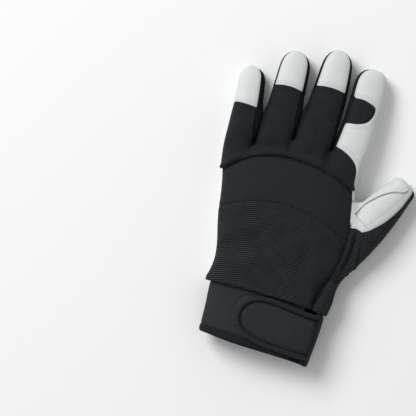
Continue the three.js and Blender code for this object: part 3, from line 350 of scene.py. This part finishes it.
def creaseRim(bm):
    edgeCrease = bm.edges.layers.float.get("crease_edge") or bm.edges.layers.float.new("crease_edge")
    cornerCrease = bm.verts.layers.float.get("crease_vert") or bm.verts.layers.float.new("crease_vert")
    rim = [edge for edge in bm.edges if isRimEdge(edge)]
    ways = {}
    for edge in rim:
        edge[edgeCrease] = 1.0
        for vert in edge.verts:
            ways.setdefault(vert, []).append((edge.other_vert(vert).co - vert.co).normalized())
    for vert, pair in ways.items():
        isCorner = len(pair) == 2 and pair[0].dot(pair[1]) > -math.cos(cornerBend)
        if isCorner and not turnsRound(vert.co):
            vert[cornerCrease] = 1.0


# Moves the edges of a panel out until they meet the next panel's.
def meetNeighbours(bm, reach):
    ways = {}
    for face in bm.faces:
        if face.material_index == 2:
            for vert in face.verts:
                ways[vert] = ways.get(vert, Vector()) + face.normal
    for vert, way in ways.items():
        vert.co += way.normalized() * reach


def applied(piece):
    depsgraph = bpy.context.evaluated_depsgraph_get()
    mesh = bpy.data.meshes.new_from_object(piece.evaluated_get(depsgraph))
    piece.modifiers.clear()
    old, piece.data = piece.data, mesh
    bpy.data.meshes.remove(old)
    mesh.name = piece.name


def smoothed(piece, levels):
    smooth = piece.modifiers.new("smooth", "SUBSURF")
    smooth.levels = smooth.render_levels = levels
    applied(piece)


def newPiece(name, bm):
    mesh = bpy.data.meshes.new(name)
    bm.to_mesh(mesh)
    bm.free()
    piece = bpy.data.objects.new(name, mesh)
    bpy.context.scene.collection.objects.link(piece)
    return piece


def coordinates(mesh, what="co"):
    values = np.zeros(len(mesh.vertices) * 3)
    if what == "co":
        mesh.vertices.foreach_get("co", values)
    else:
        mesh.vertex_normals.foreach_get("vector", values)
    return values.reshape(-1, 3)


farAway = 1e3


# Distance of each point from the edge of a panel's outside, in millimetres, and the sides that
# each point lies on.
def rimDistance(mesh, points):
    touch = np.zeros((len(mesh.vertices), 3), bool)
    edgeFaces = {}
    for polygon in mesh.polygons:
        for key in polygon.edge_keys:
            edgeFaces.setdefault(key, set()).add(polygon.material_index)
        touch[list(polygon.vertices), polygon.material_index] = True
    follow = {}
    for (a, b), sides in edgeFaces.items():
        if sides == {0, 2}:
            follow.setdefault(a, []).append(b)
            follow.setdefault(b, []).append(a)
    if not follow:
        return np.full(len(points), farAway), touch
    tree = kdtree.KDTree(len(follow))
    for a in follow:
        tree.insert(points[a], a)
    tree.balance()
    nearest = np.array([tree.find(p)[1] for p in points])
    best = np.linalg.norm(points - points[nearest], axis=1)
    for pick in (0, 1):
        other = np.array([follow[a][min(pick, len(follow[a]) - 1)] for a in nearest])
        start, way = points[nearest], points[other] - points[nearest]
        share = np.clip(((points - start) * way).sum(1) / np.maximum((way**2).sum(1), 1e-9), 0, 1)
        best = np.minimum(best, np.linalg.norm(points - start - way * share[:, None], axis=1))
    return best, touch


# Distance of points from a line of plan places, with the share of the way along it.
def lineDistance(points, line):
    best, along = np.full(len(points), farAway), np.zeros(len(points))
    pairs = list(zip(line, line[1:]))
    for order, (a, b) in enumerate(pairs):
        a, way = np.array(a, float), np.array(b, float) - np.array(a, float)
        share = np.clip(((points[:, :2] - a) @ way) / (way @ way), 0, 1)
        distance = np.linalg.norm(points[:, :2] - a - share[:, None] * way, axis=1)
        closer = distance < best
        best = np.where(closer, distance, best)
        along = np.where(closer, (order + share) / len(pairs), along)
    return best, along


# How much of a fold reaches each point. It fades across its line, and along it towards both ends.
def foldShare(points, fold):
    away, along = lineDistance(points, fold["line"])
    ends = np.clip(np.minimum(along, 1 - along) * 4 + fold.get("ends", 0.15), 0, 1)
    return ends * np.exp(-((away / fold["width"]) ** 2))


# Valleys and ridges of the back that take every layer of the wall with them, in millimetres.
backFolds = [
    {"line": [(46, 72), (43.4, 64), (41, 56), (38.6, 48), (37.4, 40)], "rise": -3.4, "width": 2.6,
     "ends": 0.5},
    {"line": [(46.8, 68), (47.4, 61), (46.6, 53), (46, 44)], "rise": 0.9, "width": 1.6, "ends": 0.3},
    {"line": [(56.6, 110), (56.7, 101), (56.4, 93.5), (55.2, 84.8), (52.4, 75)], "rise": -2.0, "width": 1.5},
    {"line": [(62.4, 100), (63.1, 93.6), (62.6, 86)], "rise": -1.1, "width": 1.1},
    {"line": [(49.8, 100), (49.6, 90), (48.2, 81.8), (46.4, 74)], "rise": -1.3, "width": 1.5, "ends": 0.5},
    {"line": [(-46, 68), (-28, 77), (-8, 92)], "rise": -1.3, "width": 5},
    {"line": [(-42, 56), (-20, 65), (4, 80)], "rise": 0.9, "width": 5},
    {"line": [(-10, 58), (10, 70), (30, 80)], "rise": -0.9, "width": 6},
    {"line": [(-50, 98), (-40, 104), (-24, 108)], "rise": 0.5, "width": 5},
    {"line": [(-56, 132.5), (-46.5, 144.8), (-36, 151.5), (-25, 155.6)], "rise": -1.2, "width": 2.6,
     "ends": 0.4},
    {"line": [(-41, 153.6), (-31, 157.2), (-19, 161.4)], "rise": -0.9, "width": 2.8},
    {"line": [(-26, 156.8), (-8, 160), (4, 160.6), (16, 159.6)], "rise": -0.8, "width": 2.8, "ends": 0.4},
    {"line": [(20, 162), (30, 158), (39, 151)], "rise": -0.7, "width": 3},
]


backFrom, backSpan = 13, 5  # heights in millimetres, where the back's share starts and how fast it grows
underFrom, underSpan = 9, 4


def foldBack(piece, look):
    points = coordinates(piece.data) * 1000 - handOrigin
    upper = np.clip((points[:, 2] - backFrom) / backSpan, 0, 1)
    lower = np.clip((underFrom - points[:, 2]) / underSpan, 0, 1)
    for fold in backFolds + look.get("ownFolds", []):
        points[:, 2] += fold["rise"] * foldShare(points, fold) * (lower if fold.get("under") else upper)
    if "tuck" in look:  # what lies below the edge goes down into the hem
        edge, by = look["tuck"]
        points[:, 1] -= by * np.clip((edge - points[:, 1]) / 2, 0, 1)
    piece.data.vertices.foreach_set("co", ((points + handOrigin) / 1000).ravel())
    piece.data.update()


# Soft lumps, the same on every run.
def lumps(points, size, seed):
    shift = Vector((seed * 17.3, seed * 5.1, seed * 9.7))
    return np.array([noise.noise(Vector(p) / size + shift) for p in points])


facingSlope = 3  # a fold is full where the normal's z is over 1/3
lumpFade = 4  # lumps fade towards the seams over this many millimetres


# Presses a panel's outside down along its seams, and gives it its bead, folds and lumps.
def shaped(piece, look):
    mesh = piece.data
    points = coordinates(mesh) * 1000 - handOrigin
    normals = coordinates(mesh, "normal")
    distance, touch = rimDistance(mesh, points)
    height = -look["press"] * np.exp(-((distance / look["pressWidth"]) ** 2))
    if "bead" in look:
        bead = look["bead"]
        height += bead["height"] * np.exp(-(((distance - bead["inset"]) / bead["width"]) ** 2))
    facing = np.clip(normals[:, 2] * facingSlope, 0, 1)
    for fold in look["folds"]:
        height += fold["height"] * foldShare(points, fold) * facing
    fade = 1 - np.exp(-((distance / lumpFade) ** 2))
    for size, amount, seed in look["lumps"]:
        height += amount * lumps(points, size, seed) * fade
    points += handOrigin + normals * (height * touch[:, 0])[:, None]
    points[:, 2] = np.maximum(points[:, 2], 0)
    mesh.vertices.foreach_set("co", (points / 1000).ravel())
    mesh.update()


# Where cloth swells: this far from its rim, in millimetres, and where it leans this much to the side.
# The last two are metres: where a ray starts, and what is left between the two sides.
swelling = {"rim": 0.4, "sideways": 0.35, "step": 2e-5, "leave": 5e-5}


# Cloth between two fingers swells until its two sides meet, up to a place along them.
def closeGap(piece, look):
    mesh = piece.data
    points, normals = coordinates(mesh), coordinates(mesh, "normal")
    distance, touch = rimDistance(mesh, points * 1000 - handOrigin)
    tree = BVHTree.FromPolygons(points.tolist(), [tuple(polygon.vertices) for polygon in mesh.polygons])
    for order in np.nonzero(touch[:, 0] & (distance > swelling["rim"]))[0]:
        point, normal = Vector(points[order]), Vector(normals[order])
        y = points[order][1] * 1000 - handOrigin[1]
        fade = (look["closedTo"] + look["opens"] - y) / look["opens"]
        if fade <= 0 or abs(normal.x) < swelling["sideways"]:
            continue
        way = Vector((normal.x, 0, 0)).normalized()
        gap = tree.ray_cast(point + way * swelling["step"], way, look["widest"] / 1000)[3]
        if gap:
            inner = 1 - math.exp(-((distance[order] / look["edge"]) ** 2))
            points[order] += np.array(way) * (gap / 2 - swelling["leave"]) * min(fade, 1) * inner
    mesh.vertices.foreach_set("co", points.ravel())
    mesh.update()


# Cloth coordinates in millimetres, unrolled round an axis: two plan places, a radius and the share
# of the way round that is unrolled. A droop bends the rows on the little finger's side.
droopFrom = 15  # millimetres towards the thumb


def unrolled(piece, axis, droop=0.0):
    points = coordinates(piece.data) * 1000 - handOrigin
    a, b = (np.array(p, float) for p in axis[:2])
    radius, wrap = axis[2], axis[3]
    way = (b - a) / np.linalg.norm(b - a)
    side = np.array([way[1], -way[0], 0])
    off = points - a
    v, flat, rise = off @ way, off @ side, off[:, 2]
    angle = np.arctan2(flat, np.maximum(rise, -radius) + radius * 0.2)
    u = flat * (1 - wrap) + angle * radius * wrap
    v = v + droop * np.minimum(points[:, 0] - droopFrom, 0) ** 2
    spots = np.stack([u, v, np.zeros(len(u))], 1)
    layer = piece.data.attributes.new("cloth", "FLOAT_VECTOR", "POINT")
    layer.data.foreach_set("vector", spots.ravel())


handAxis = ((0, 0, 12), (0, 200, 12), 30, 0.0)
thumbAxis = ((55, 85, 12), (84, 150, 12), 12, 0.6)


# Flat sizes in the looks are width and length in millimetres, then the area in square millimetres.
def dressed(piece, look):
    for finish in look["finishes"]:
        piece.data.materials.append(finishes[finish])
    for polygon in piece.data.polygons:
        polygon.use_smooth = True
        polygon.material_index = min(polygon.material_index, len(look["finishes"]) - 1)
    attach(piece, "root")
    if "node" in look:
        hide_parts(look["node"])
    if "flat" in look:
        width, length, area = look["flat"]
        width / 1000
        length / 1000
        area / 1e6
    "fill" in look


weldReach = 2e-6
joining = {"angle_face_threshold": 0.7, "angle_shape_threshold": 0.9}

# What a panel has unless its look says otherwise, in millimetres: how far its rim goes out to meet the
# next one, the band inside the rim, and how deep and how widely the seam presses it down.
panelDefaults = {"meet": 0.13, "band": 0.8, "levels": 3, "press": 0.45, "pressWidth": 0.8,
                 "axis": handAxis, "droop": 0.0, "folds": [], "lumps": []}


def nodeCopy(node):
    bm = bmesh.new()
    bm.from_mesh(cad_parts[node].data)
    bmesh.ops.remove_doubles(bm, verts=bm.verts[:], dist=weldReach)
    return bm


# A panel of cloth or leather from its node, with a narrow band round its outside that holds the seam.
def makePanel(name, ownLook):
    look = {**panelDefaults, **ownLook}
    bm = nodeCopy(look["node"])
    sortSides(bm)
    meetNeighbours(bm, look["meet"] / 1000)
    bmesh.ops.join_triangles(bm, faces=bm.faces[:], cmp_materials=True, **joining)
    if look["band"]:
        outside = [face for face in bm.faces if face.material_index == 0]
        bmesh.ops.inset_region(bm, faces=outside, thickness=look["band"] / 1000, use_even_offset=False)
    creaseRim(bm)
    piece = newPiece(name, bm)
    smoothed(piece, look["levels"])
    if "closedTo" in look:
        closeGap(piece, look)
    foldBack(piece, look)
    shaped(piece, look)
    unrolled(piece, look["axis"], look["droop"])
    dressed(piece, look)
    print(name, len(piece.data.polygons))
    return piece


# A cord from its node.
def makeCord(name, look):
    bm = nodeCopy(look["node"])
    bmesh.ops.join_triangles(bm, faces=bm.faces[:], **joining)
    piece = newPiece(name, bm)
    smoothed(piece, 3)
    foldBack(piece, look)
    unrolled(piece, handAxis)
    dressed(piece, look)
    print(name, len(piece.data.polygons))
    return piece


# A line of plan places moved to its left.
def shifted(line, distance):
    places = np.array(line, float)
    ways = np.gradient(places, axis=0)
    ways /= np.linalg.norm(ways, axis=1)[:, None]
    return [tuple(place) for place in places + np.stack([-ways[:, 1], ways[:, 0]], 1) * distance]


# Rows of stitches beside the seams of the leather, on the plan.
capSeams = {
    "pinky": {"x": -58.2, "y": 183.0, "arch": 1.2, "width": 24, "flat": (26, 36, 860)},
    "ring": {"x": -28.3, "y": 204.5, "arch": 3, "width": 28.2, "flat": (26, 32, 730)},
    "middle": {"x": 4.1, "y": 212.9, "arch": 2.7, "width": 30.6, "flat": (27, 34, 770)},
}
patchRound = {"left": (16, 202.1), "right": (32.7, 203.5), "radius": 10.4}
bandSeam = [(14, 171.9), (20.5, 171.4), (25, 170.7), (30, 168.9), (35, 166.5), (40, 162), (42.5, 158.1),
            (43, 154.6), (42.4, 150.9), (42.6, 147), (43.5, 141)]
overlaySeam = [(60, 114), (66, 120.5), (72.5, 128.5), (78.5, 137), (84, 146.5), (89, 157)]


rowInset = 1.5  # a cap's rows end this far from its sides


def capRow(seam, above):
    spots = [share / 8 for share in range(-8, 9)]
    half = seam["width"] / 2 - rowInset
    return [(seam["x"] + u * half, seam["y"] + seam["arch"] * (1 - u * u) + above) for u in spots]


def patchRow(above):
    radius, (leftX, leftY), (x, y) = patchRound["radius"] + above, patchRound["left"], patchRound["right"]
    turns = [math.radians(90 - 15 * step) for step in range(13)]
    bow = [(x + radius * math.cos(turn), y + radius * math.sin(turn)) for turn in turns]
    return [(leftX, leftY + radius), *bow, (leftX, leftY - radius)]


doubleRow = (1.7, 3.3)  # millimetres from the seam
capRows = {name: [capRow(seam, above) for above in doubleRow] for name, seam in capSeams.items()}
indexRows = [patchRow(above) for above in doubleRow] + [shifted(bandSeam, above) for above in doubleRow]
overlayRows = [shifted(overlaySeam, 1.4)]


grooveLook = {"height": -0.16, "width": 0.55, "ends": 1}  # the thread pulls the leather in


def grooves(rows):
    return [{"line": row, **grooveLook} for row in rows]


# Finishes are those of the outside, the inside and the rim. Lumps are size and height in
# millimetres, then the seed.
leather = {"finishes": ["goatskin", "suede", "goatskin"], "slot": "goatskin",
           "lumps": [(9, 0.16, 1), (3.5, 0.05, 2)]}
palmLook = {
    **leather, "node": "palm_leather", "levels": 2, "band": 0.35, "flat": (150, 235, 23500),
    "lumps": [(14, 0.5, 3), (4, 0.12, 4)],
    "folds": [{"line": [(47, 137), (53, 131), (60, 127)], "height": -0.4, "width": 1.3}],
    "ownFolds": [
        {"line": [(49.1, 113.6), (49.8, 103)], "rise": -3.0, "width": 1.7, "ends": 1},
        {"line": [(-39, 179), (-31, 175), (-24, 173)], "rise": 1.2, "width": 1.3, "under": True},
        {"line": [(-37, 174), (-29, 171.5)], "rise": 0.8, "width": 1.1, "under": True},
        {"line": [(-37, 199), (-28, 200.5), (-19, 199)], "rise": 0.7, "width": 1.2, "under": True},
        {"line": [(-9, 195), (1, 196), (9, 194.5)], "rise": 0.7, "width": 1.2, "under": True},
        {"line": [(-10, 185), (-1, 187), (8, 185)], "rise": 0.6, "width": 1.2, "under": True},
        {"line": [(16, 157), (24, 149), (34, 141)], "rise": 1.5, "width": 1.6, "under": True},
        {"line": [(10, 152), (22, 144), (33, 139)], "rise": 0.8, "width": 1.5, "under": True},
        {"line": [(38, 118), (34, 108), (31, 97)], "rise": 1.5, "width": 1.6, "under": True},
        {"line": [(41, 116), (39, 104), (40, 93)], "rise": 1.2, "width": 1.5, "under": True},
        {"line": [(47, 119), (50, 108), (58, 102)], "rise": 1.9, "width": 1.8, "under": True},
        {"line": [(45, 121), (46, 110), (52, 100)], "rise": -1.1, "width": 1.6, "under": True},
        {"line": [(-62, 156), (-50, 157), (-44, 152)], "rise": 0.6, "width": 1.5, "under": True},
        {"line": [(-46, 52), (-30, 56), (-10, 53)], "rise": 0.6, "width": 2.2, "under": True},
        {"line": [(-44, 84), (-30, 78), (-20, 70)], "rise": 0.6, "width": 2.0, "under": True},
    ],
}
makePanel("palmLeather", palmLook)

indexLook = {
    **leather, "node": "index_wrap", "flat": (40, 108, 2850),
    "folds": [
        {"line": [(18, 181), (28, 183), (40, 178)], "height": -0.3, "width": 1.5},
        {"line": [(46, 172), (45, 164), (46, 156)], "height": -0.35, "width": 1.6},
        *grooves(indexRows),
    ],
}
indexWrap = makePanel("indexWrap", indexLook)

overlayLook = {
    **leather, "node": "thumb_overlay", "flat": (26, 58, 930),
    "folds": [{"line": [(58, 122), (70, 134), (80, 147)], "height": 0.25, "width": 5, "ends": 0.4},
              *grooves(overlayRows)],
}
thumbOverlay = makePanel("thumbOverlay", overlayLook)

caps = {}
for digit, rows in capRows.items():
    capLook = {**leather, "node": f"{digit}_tip_cap", "flat": capSeams[digit]["flat"], "folds": grooves(rows)}
    caps[digit] = makePanel(f"{digit}Cap", capLook)

knit = {"finishes": ["fineKnit", "lining", "fineKnit"], "slot": "fine_knit"}

# The rolled hem of the finger backs, over the band.
hemLine = [(-62, 128), (-55, 137), (-48, 142), (-41, 145.5), (-32, 149), (-22, 151.3), (-8, 152.6),
           (4, 152.7), (16, 151.6), (28, 148.6), (38, 144), (47, 138)]
backsLook = {
    **knit, "node": "finger_back_panel", "flat": (112, 92, 6000), "press": 0.35,
    "lumps": [(8, 0.25, 5), (3, 0.05, 6)],
    "bead": {"height": 0.35, "inset": 1.2, "width": 0.7},
    "folds": [
        {"line": shifted(hemLine, 2.3), "height": 1.5, "width": 2.0, "ends": 1},
        {"line": [(-67, 160), (-58, 158), (-50, 160)], "height": -0.4, "width": 2.5},
    ],
}
makePanel("fingerBacks", backsLook)

patchLook = {**knit, "node": "index_knuckle_patch", "flat": (21, 21.5, 410), "lumps": [(6, 0.15, 7)]}
makePanel("indexPatch", patchLook)

# The strips between the fingers close up to a place along the hand, and open over a length from there.
stripLook = {"finishes": ["stretchCloth", "lining", "stretchCloth"], "slot": "stretch_cloth", "press": 0.3,
             "opens": 9, "widest": 14, "edge": 3.2, "flat": (24, 165, 2400)}
for gap, closedTo in {"pinky_ring": 181, "ring_middle": 191, "middle_index": 179}.items():
    makePanel(f"{gap}_strip", {**stripLook, "node": f"fourchette_{gap}", "closedTo": closedTo})

bandLook = {"finishes": ["bandFoam", "lining", "bandFoam"], "slot": "band_foam", "node": "knuckle_band",
            "lumps": [(16, 0.35, 8)], "press": 0.5, "pressWidth": 1.4, "fill": 0.8,
            "folds": [{"line": shifted(hemLine, -1.2), "height": -1.0, "width": 1.6, "ends": 1}]}
makePanel("knuckleBand", bandLook)

rib = {"finishes": ["ribbedKnit", "lining", "ribbedKnit"], "slot": "ribbed_knit"}
knitLook = {
    **rib, "node": "knit_panel", "flat": (112, 76, 7650), "droop": 0.0026, "lumps": [(12, 0.5, 9)],
    "folds": [{"line": [(-50, 43.4), (-20, 43.6), (36, 43)], "height": 0.8, "width": 1.7, "ends": 1}],
}
makePanel("knitBack", knitLook)

gusset = {"finishes": ["ribbedKnit", "lining", "ribbedKnit"], "slot": "stretch_cloth"}
gussetLook = {
    **gusset, "node": "thumb_gusset", "flat": (24, 48, 790), "held": "gathered",
    "folds": [
        {"line": [(53, 110), (53.3, 101), (53.2, 92.6), (51.8, 84.8), (50, 77.8), (48.8, 70)], "height": 0.9,
         "width": 1.5, "ends": 0.5},
        {"line": [(60, 102), (60.8, 95), (60.2, 89), (58.9, 82), (57, 74)], "height": 0.9, "width": 1.4},
    ],
}
makePanel("thumbGusset", gussetLook)
wristLook = {**gusset, "node": "wrist_gusset", "flat": (16, 31, 450)}
wristGusset = makePanel("wristGusset", wristLook)

outerLook = {**rib, "node": "thumb_outer_panel", "flat": (46, 125, 3600), "axis": thumbAxis}
thumbOuter = makePanel("thumbOuter", outerLook)

cuffLook = {"finishes": ["cuffFoam", "lining", "cuffFoam"], "slot": "cuff_foam", "node": "cuff_body",
            "fill": 0.7, "lumps": [(15, 0.3, 10)], "tuck": (8.5, 0.9)}
cuff = makePanel("cuff", cuffLook)
hemLook = {"finishes": ["hemTape"], "slot": "hem_tape", "node": "cuff_hem", "band": 0, "meet": 0.45,
           "press": 0.3, "held": "folded", "flat": (10, 190, 1490)}
cuffHem = makePanel("cuffHem", hemLook)
strapLook = {"finishes": ["strapFoam", "lining", "strapFoam"], "slot": "strap_foam", "node": "strap_panel",
             "lumps": [(10, 0.3, 11)], "press": 0.9, "pressWidth": 1.6, "fill": 0.7}
strap = makePanel("strap", strapLook)
loopLook = {"finishes": ["loopPile", "lining", "loopPile"], "slot": "loop_pile", "node": "strap_loop_pad",
            "held": "laid", "flat": (40, 31.5, 1140)}
loopPad = makePanel("loopPad", loopLook)

bindingLook = {"node": "strap_binding", "slot": "hem_tape", "finishes": ["bindingTape"]}
binding = makeCord("strapBinding", bindingLook)
pipingLook = {"node": "thumb_piping", "slot": "goatskin", "finishes": ["goatskin"],
              "ownFolds": [{"line": [(85, 153), (96, 165)], "rise": -2.2, "width": 3.0}]}
makeCord("thumbPiping", pipingLook)
print("panels and cords made")


def pieceTree(pieces):
    points, faces = [], []
    for piece in pieces:
        start = len(points)
        points += coordinates(piece.data).tolist()
        faces += [tuple(corner + start for corner in polygon.vertices) for polygon in piece.data.polygons]
    return BVHTree.FromPolygons(points, faces)


# Places at an even pitch along a row, each with its way on.
def evenly(row, pitch):
    places = [np.array(place, float) for place in row]
    lengths = [np.linalg.norm(b - a) for a, b in zip(places, places[1:])]
    count = max(2, round(sum(lengths) / pitch))
    marks = np.linspace(0, sum(lengths), 2 * count + 1)[1::2]
    for mark in marks:
        for a, b, length in zip(places, places[1:], lengths):
            if mark <= length:
                yield a + (b - a) * (mark / length), (b - a) / length
                break
            mark -= length


rayFrom = 70  # millimetres above the floor, over every piece
steepest = 0.12  # no thread where the cloth stands steeper than this lean upwards


# Stitches: short threads along rows of plan places, laid on whatever piece is there.
def sewn(name, rows, on, look):
    tree = pieceTree(on)
    bm = bmesh.new()
    for row in rows:
        for order, (place, way) in enumerate(evenly(row, look["pitch"])):
            step = look.get("zigzag", 0) * (order % 2 - 0.5)
            spot = place + np.array([-way[1], way[0]]) * step
            hit, normal, _, _ = tree.ray_cast(rowPoint(*spot, rayFrom), Vector((0, 0, -1)))
            if hit is None or normal.z < steepest:
                continue
            normal = normal.normalized()
            turn = math.radians(look.get("slant", 0)) * (1 if order % 2 else -1)
            along = Vector((*way, 0))
            along = (along - normal * along.dot(normal)).normalized()
            along = Matrix.Rotation(turn, 3, normal) @ along
            side = normal.cross(along)
            lay = Matrix((along, side, normal)).transposed().to_4x4()
            lay.translation = hit + normal * look["lift"] / 1000
            length, thread = look["length"] / 2000, look["thread"] / 2000
            size = Matrix.Diagonal((length, thread, thread, 1))
            bmesh.ops.create_uvsphere(bm, u_segments=8, v_segments=5, radius=1, matrix=lay @ size)
    piece = newPiece(name, bm)
    unrolled(piece, handAxis)
    dressed(piece, look)
    print(name, len(piece.data.polygons))


shadedPaleThread = {"finishes": ["shadedPaleThread"], "slot": "goatskin", "pitch": 2.2, "length": 1.7, "thread": 0.42,
              "lift": 0.06}
darkThread = {"finishes": ["darkThread"], "slot": "hem_tape", "pitch": 2.9, "length": 2.0, "thread": 0.5,
              "lift": 0.1}
loopThread = {**darkThread, "zigzag": 0.9, "pitch": 2.0, "slant": 18}
for digit, rows in capRows.items():
    sewn(f"{digit}CapStitches", rows, [caps[digit]], shadedPaleThread)
sewn("indexStitches", indexRows, [indexWrap], shadedPaleThread)
sewn("overlayStitches", overlayRows, [thumbOverlay], shadedPaleThread)
hemRows = [[(-45, 6.4), (-30, 6.0), (-14, 5.6)], [(-45, 3.9), (-30, 3.6), (-8, 3.2)]]
sewn("hemStitches", hemRows, [cuff, cuffHem], darkThread)
loopRow = [(-14.5, 38.4), (-18.5, 35.5), (-20.9, 31), (-21.7, 26), (-21.2, 20.5), (-19.2, 15.5), (-16, 12)]
sewn("loopStitches", [loopRow], [loopPad, cuff], loopThread)

# Tape folded over the cuff's edge on the thumb side. Rays from a place in the cuff, x and z, find the
# pieces that the tape lies on, between two turns about it and from one end to the other.
tapeLook = {"slot": "hem_tape", "finishes": ["bindingTape"], "from": (20, 15), "turns": (-12, 19),
            "ends": (37.5, -4.6), "across": 9, "along": 34, "lift": 0.5, "thickness": 0.9,
            "held": "folded", "flat": (17, 42, 700)}
rayStart, rayLength = 0.07, 0.05  # metres from that place, and inwards from there


def sideTape(look):
    tree = pieceTree([cuff, cuffHem, strap, binding, wristGusset, thumbOuter])
    bm = bmesh.new()
    x, z = look["from"]
    turns = np.radians(np.linspace(*look["turns"], look["across"]))
    ways = [Vector((math.cos(turn), 0, math.sin(turn))) for turn in turns]
    places = np.linspace(*look["ends"], look["along"])
    reaches = np.full((len(places), len(ways)), np.nan)
    for row, y in enumerate(places):
        for column, way in enumerate(ways):
            hit, _, _, depth = tree.ray_cast(rowPoint(x, y, z) + way * rayStart, -way, rayLength)
            if hit is not None:
                reaches[row, column] = rayStart - depth
    for column in range(len(ways)):  # fills in what the rays missed
        known = np.nonzero(~np.isnan(reaches[:, column]))[0]
        reaches[:, column] = np.interp(range(len(places)), known, reaches[known, column])
    near = np.pad(reaches, ((2, 2), (0, 0)), mode="edge")
    even = sum(near[step:step + len(places)] for step in range(5)) / 5
    even += look["lift"] / 1000
    rows = [[bm.verts.new(rowPoint(x, y, z) + way * reach) for way, reach in zip(ways, line)]
            for y, line in zip(places, even)]
    for near, far in zip(rows, rows[1:]):
        for a, b, c, d in zip(near, near[1:], far[1:], far):
            bm.faces.new((a, b, c, d))
    bmesh.ops.recalc_face_normals(bm, faces=bm.faces[:])
    piece = newPiece("cuffSideTape", bm)
    wall = piece.modifiers.new("wall", "SOLIDIFY")
    wall.thickness, wall.offset, wall.use_rim = look["thickness"] / 1000, 0, True
    applied(piece)
    smoothed(piece, 1)
    unrolled(piece, handAxis)
    dressed(piece, look)
    print("cuffSideTape", len(piece.data.polygons))


sideTape(tapeLook)
print("pieces made")

# Floor, light and camera.
floorLook = {"size": 8.0, "colour": rgba(0.985, 0.985, 0.985)}
bm = bmesh.new()
bmesh.ops.create_grid(bm, x_segments=1, y_segments=1, size=floorLook["size"] / 2)
floor = newPiece("floor", bm)
floorFinish = Finish("floor", Base_Color=floorLook["colour"], Roughness=0.9)
floor.data.materials.append(floorFinish.material)
floor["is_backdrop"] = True

scene = bpy.context.scene
world = bpy.data.worlds.new("studio")
world.use_nodes = True
sky = {"Color": rgba(1.0, 1.0, 1.0), "Strength": 0.42}
for key, value in sky.items():
    world.node_tree.nodes["Background"].inputs[key].default_value = value
scene.world = world
keyLook = {"at": (-2.1, 1.25, 2.3), "size": 1.6, "watts": 84}
lamp = bpy.data.lights.new("key", "AREA")
lamp.size, lamp.energy = keyLook["size"], keyLook["watts"]
light = bpy.data.objects.new("key", lamp)
light.location = keyLook["at"]
light.rotation_euler = (-Vector(keyLook["at"])).to_track_quat("-Z", "Y").to_euler()
scene.collection.objects.link(light)

# The camera looks straight down. Its height gives the frame's width on the plane of focus.
view = {"centre": (-0.05805, 0.0115), "focus": 0.020, "lens": 200.0, "sensor": 36.0, "frame": 0.3328,
        "roll": 16.4}
eye = bpy.data.cameras.new("eye")
eye.lens, eye.sensor_width = view["lens"], view["sensor"]
camera = bpy.data.objects.new("eye", eye)
reach = view["frame"] * view["lens"] / view["sensor"]
camera.location = (*view["centre"], view["focus"] + reach)
camera.rotation_euler = (0, 0, math.radians(view["roll"]))
scene.collection.objects.link(camera)
scene.camera = camera
scene.view_settings.view_transform = "Standard"
print("floor, light and camera set")

[[list(corner) for corner in box] for box in (cadBox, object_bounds())]
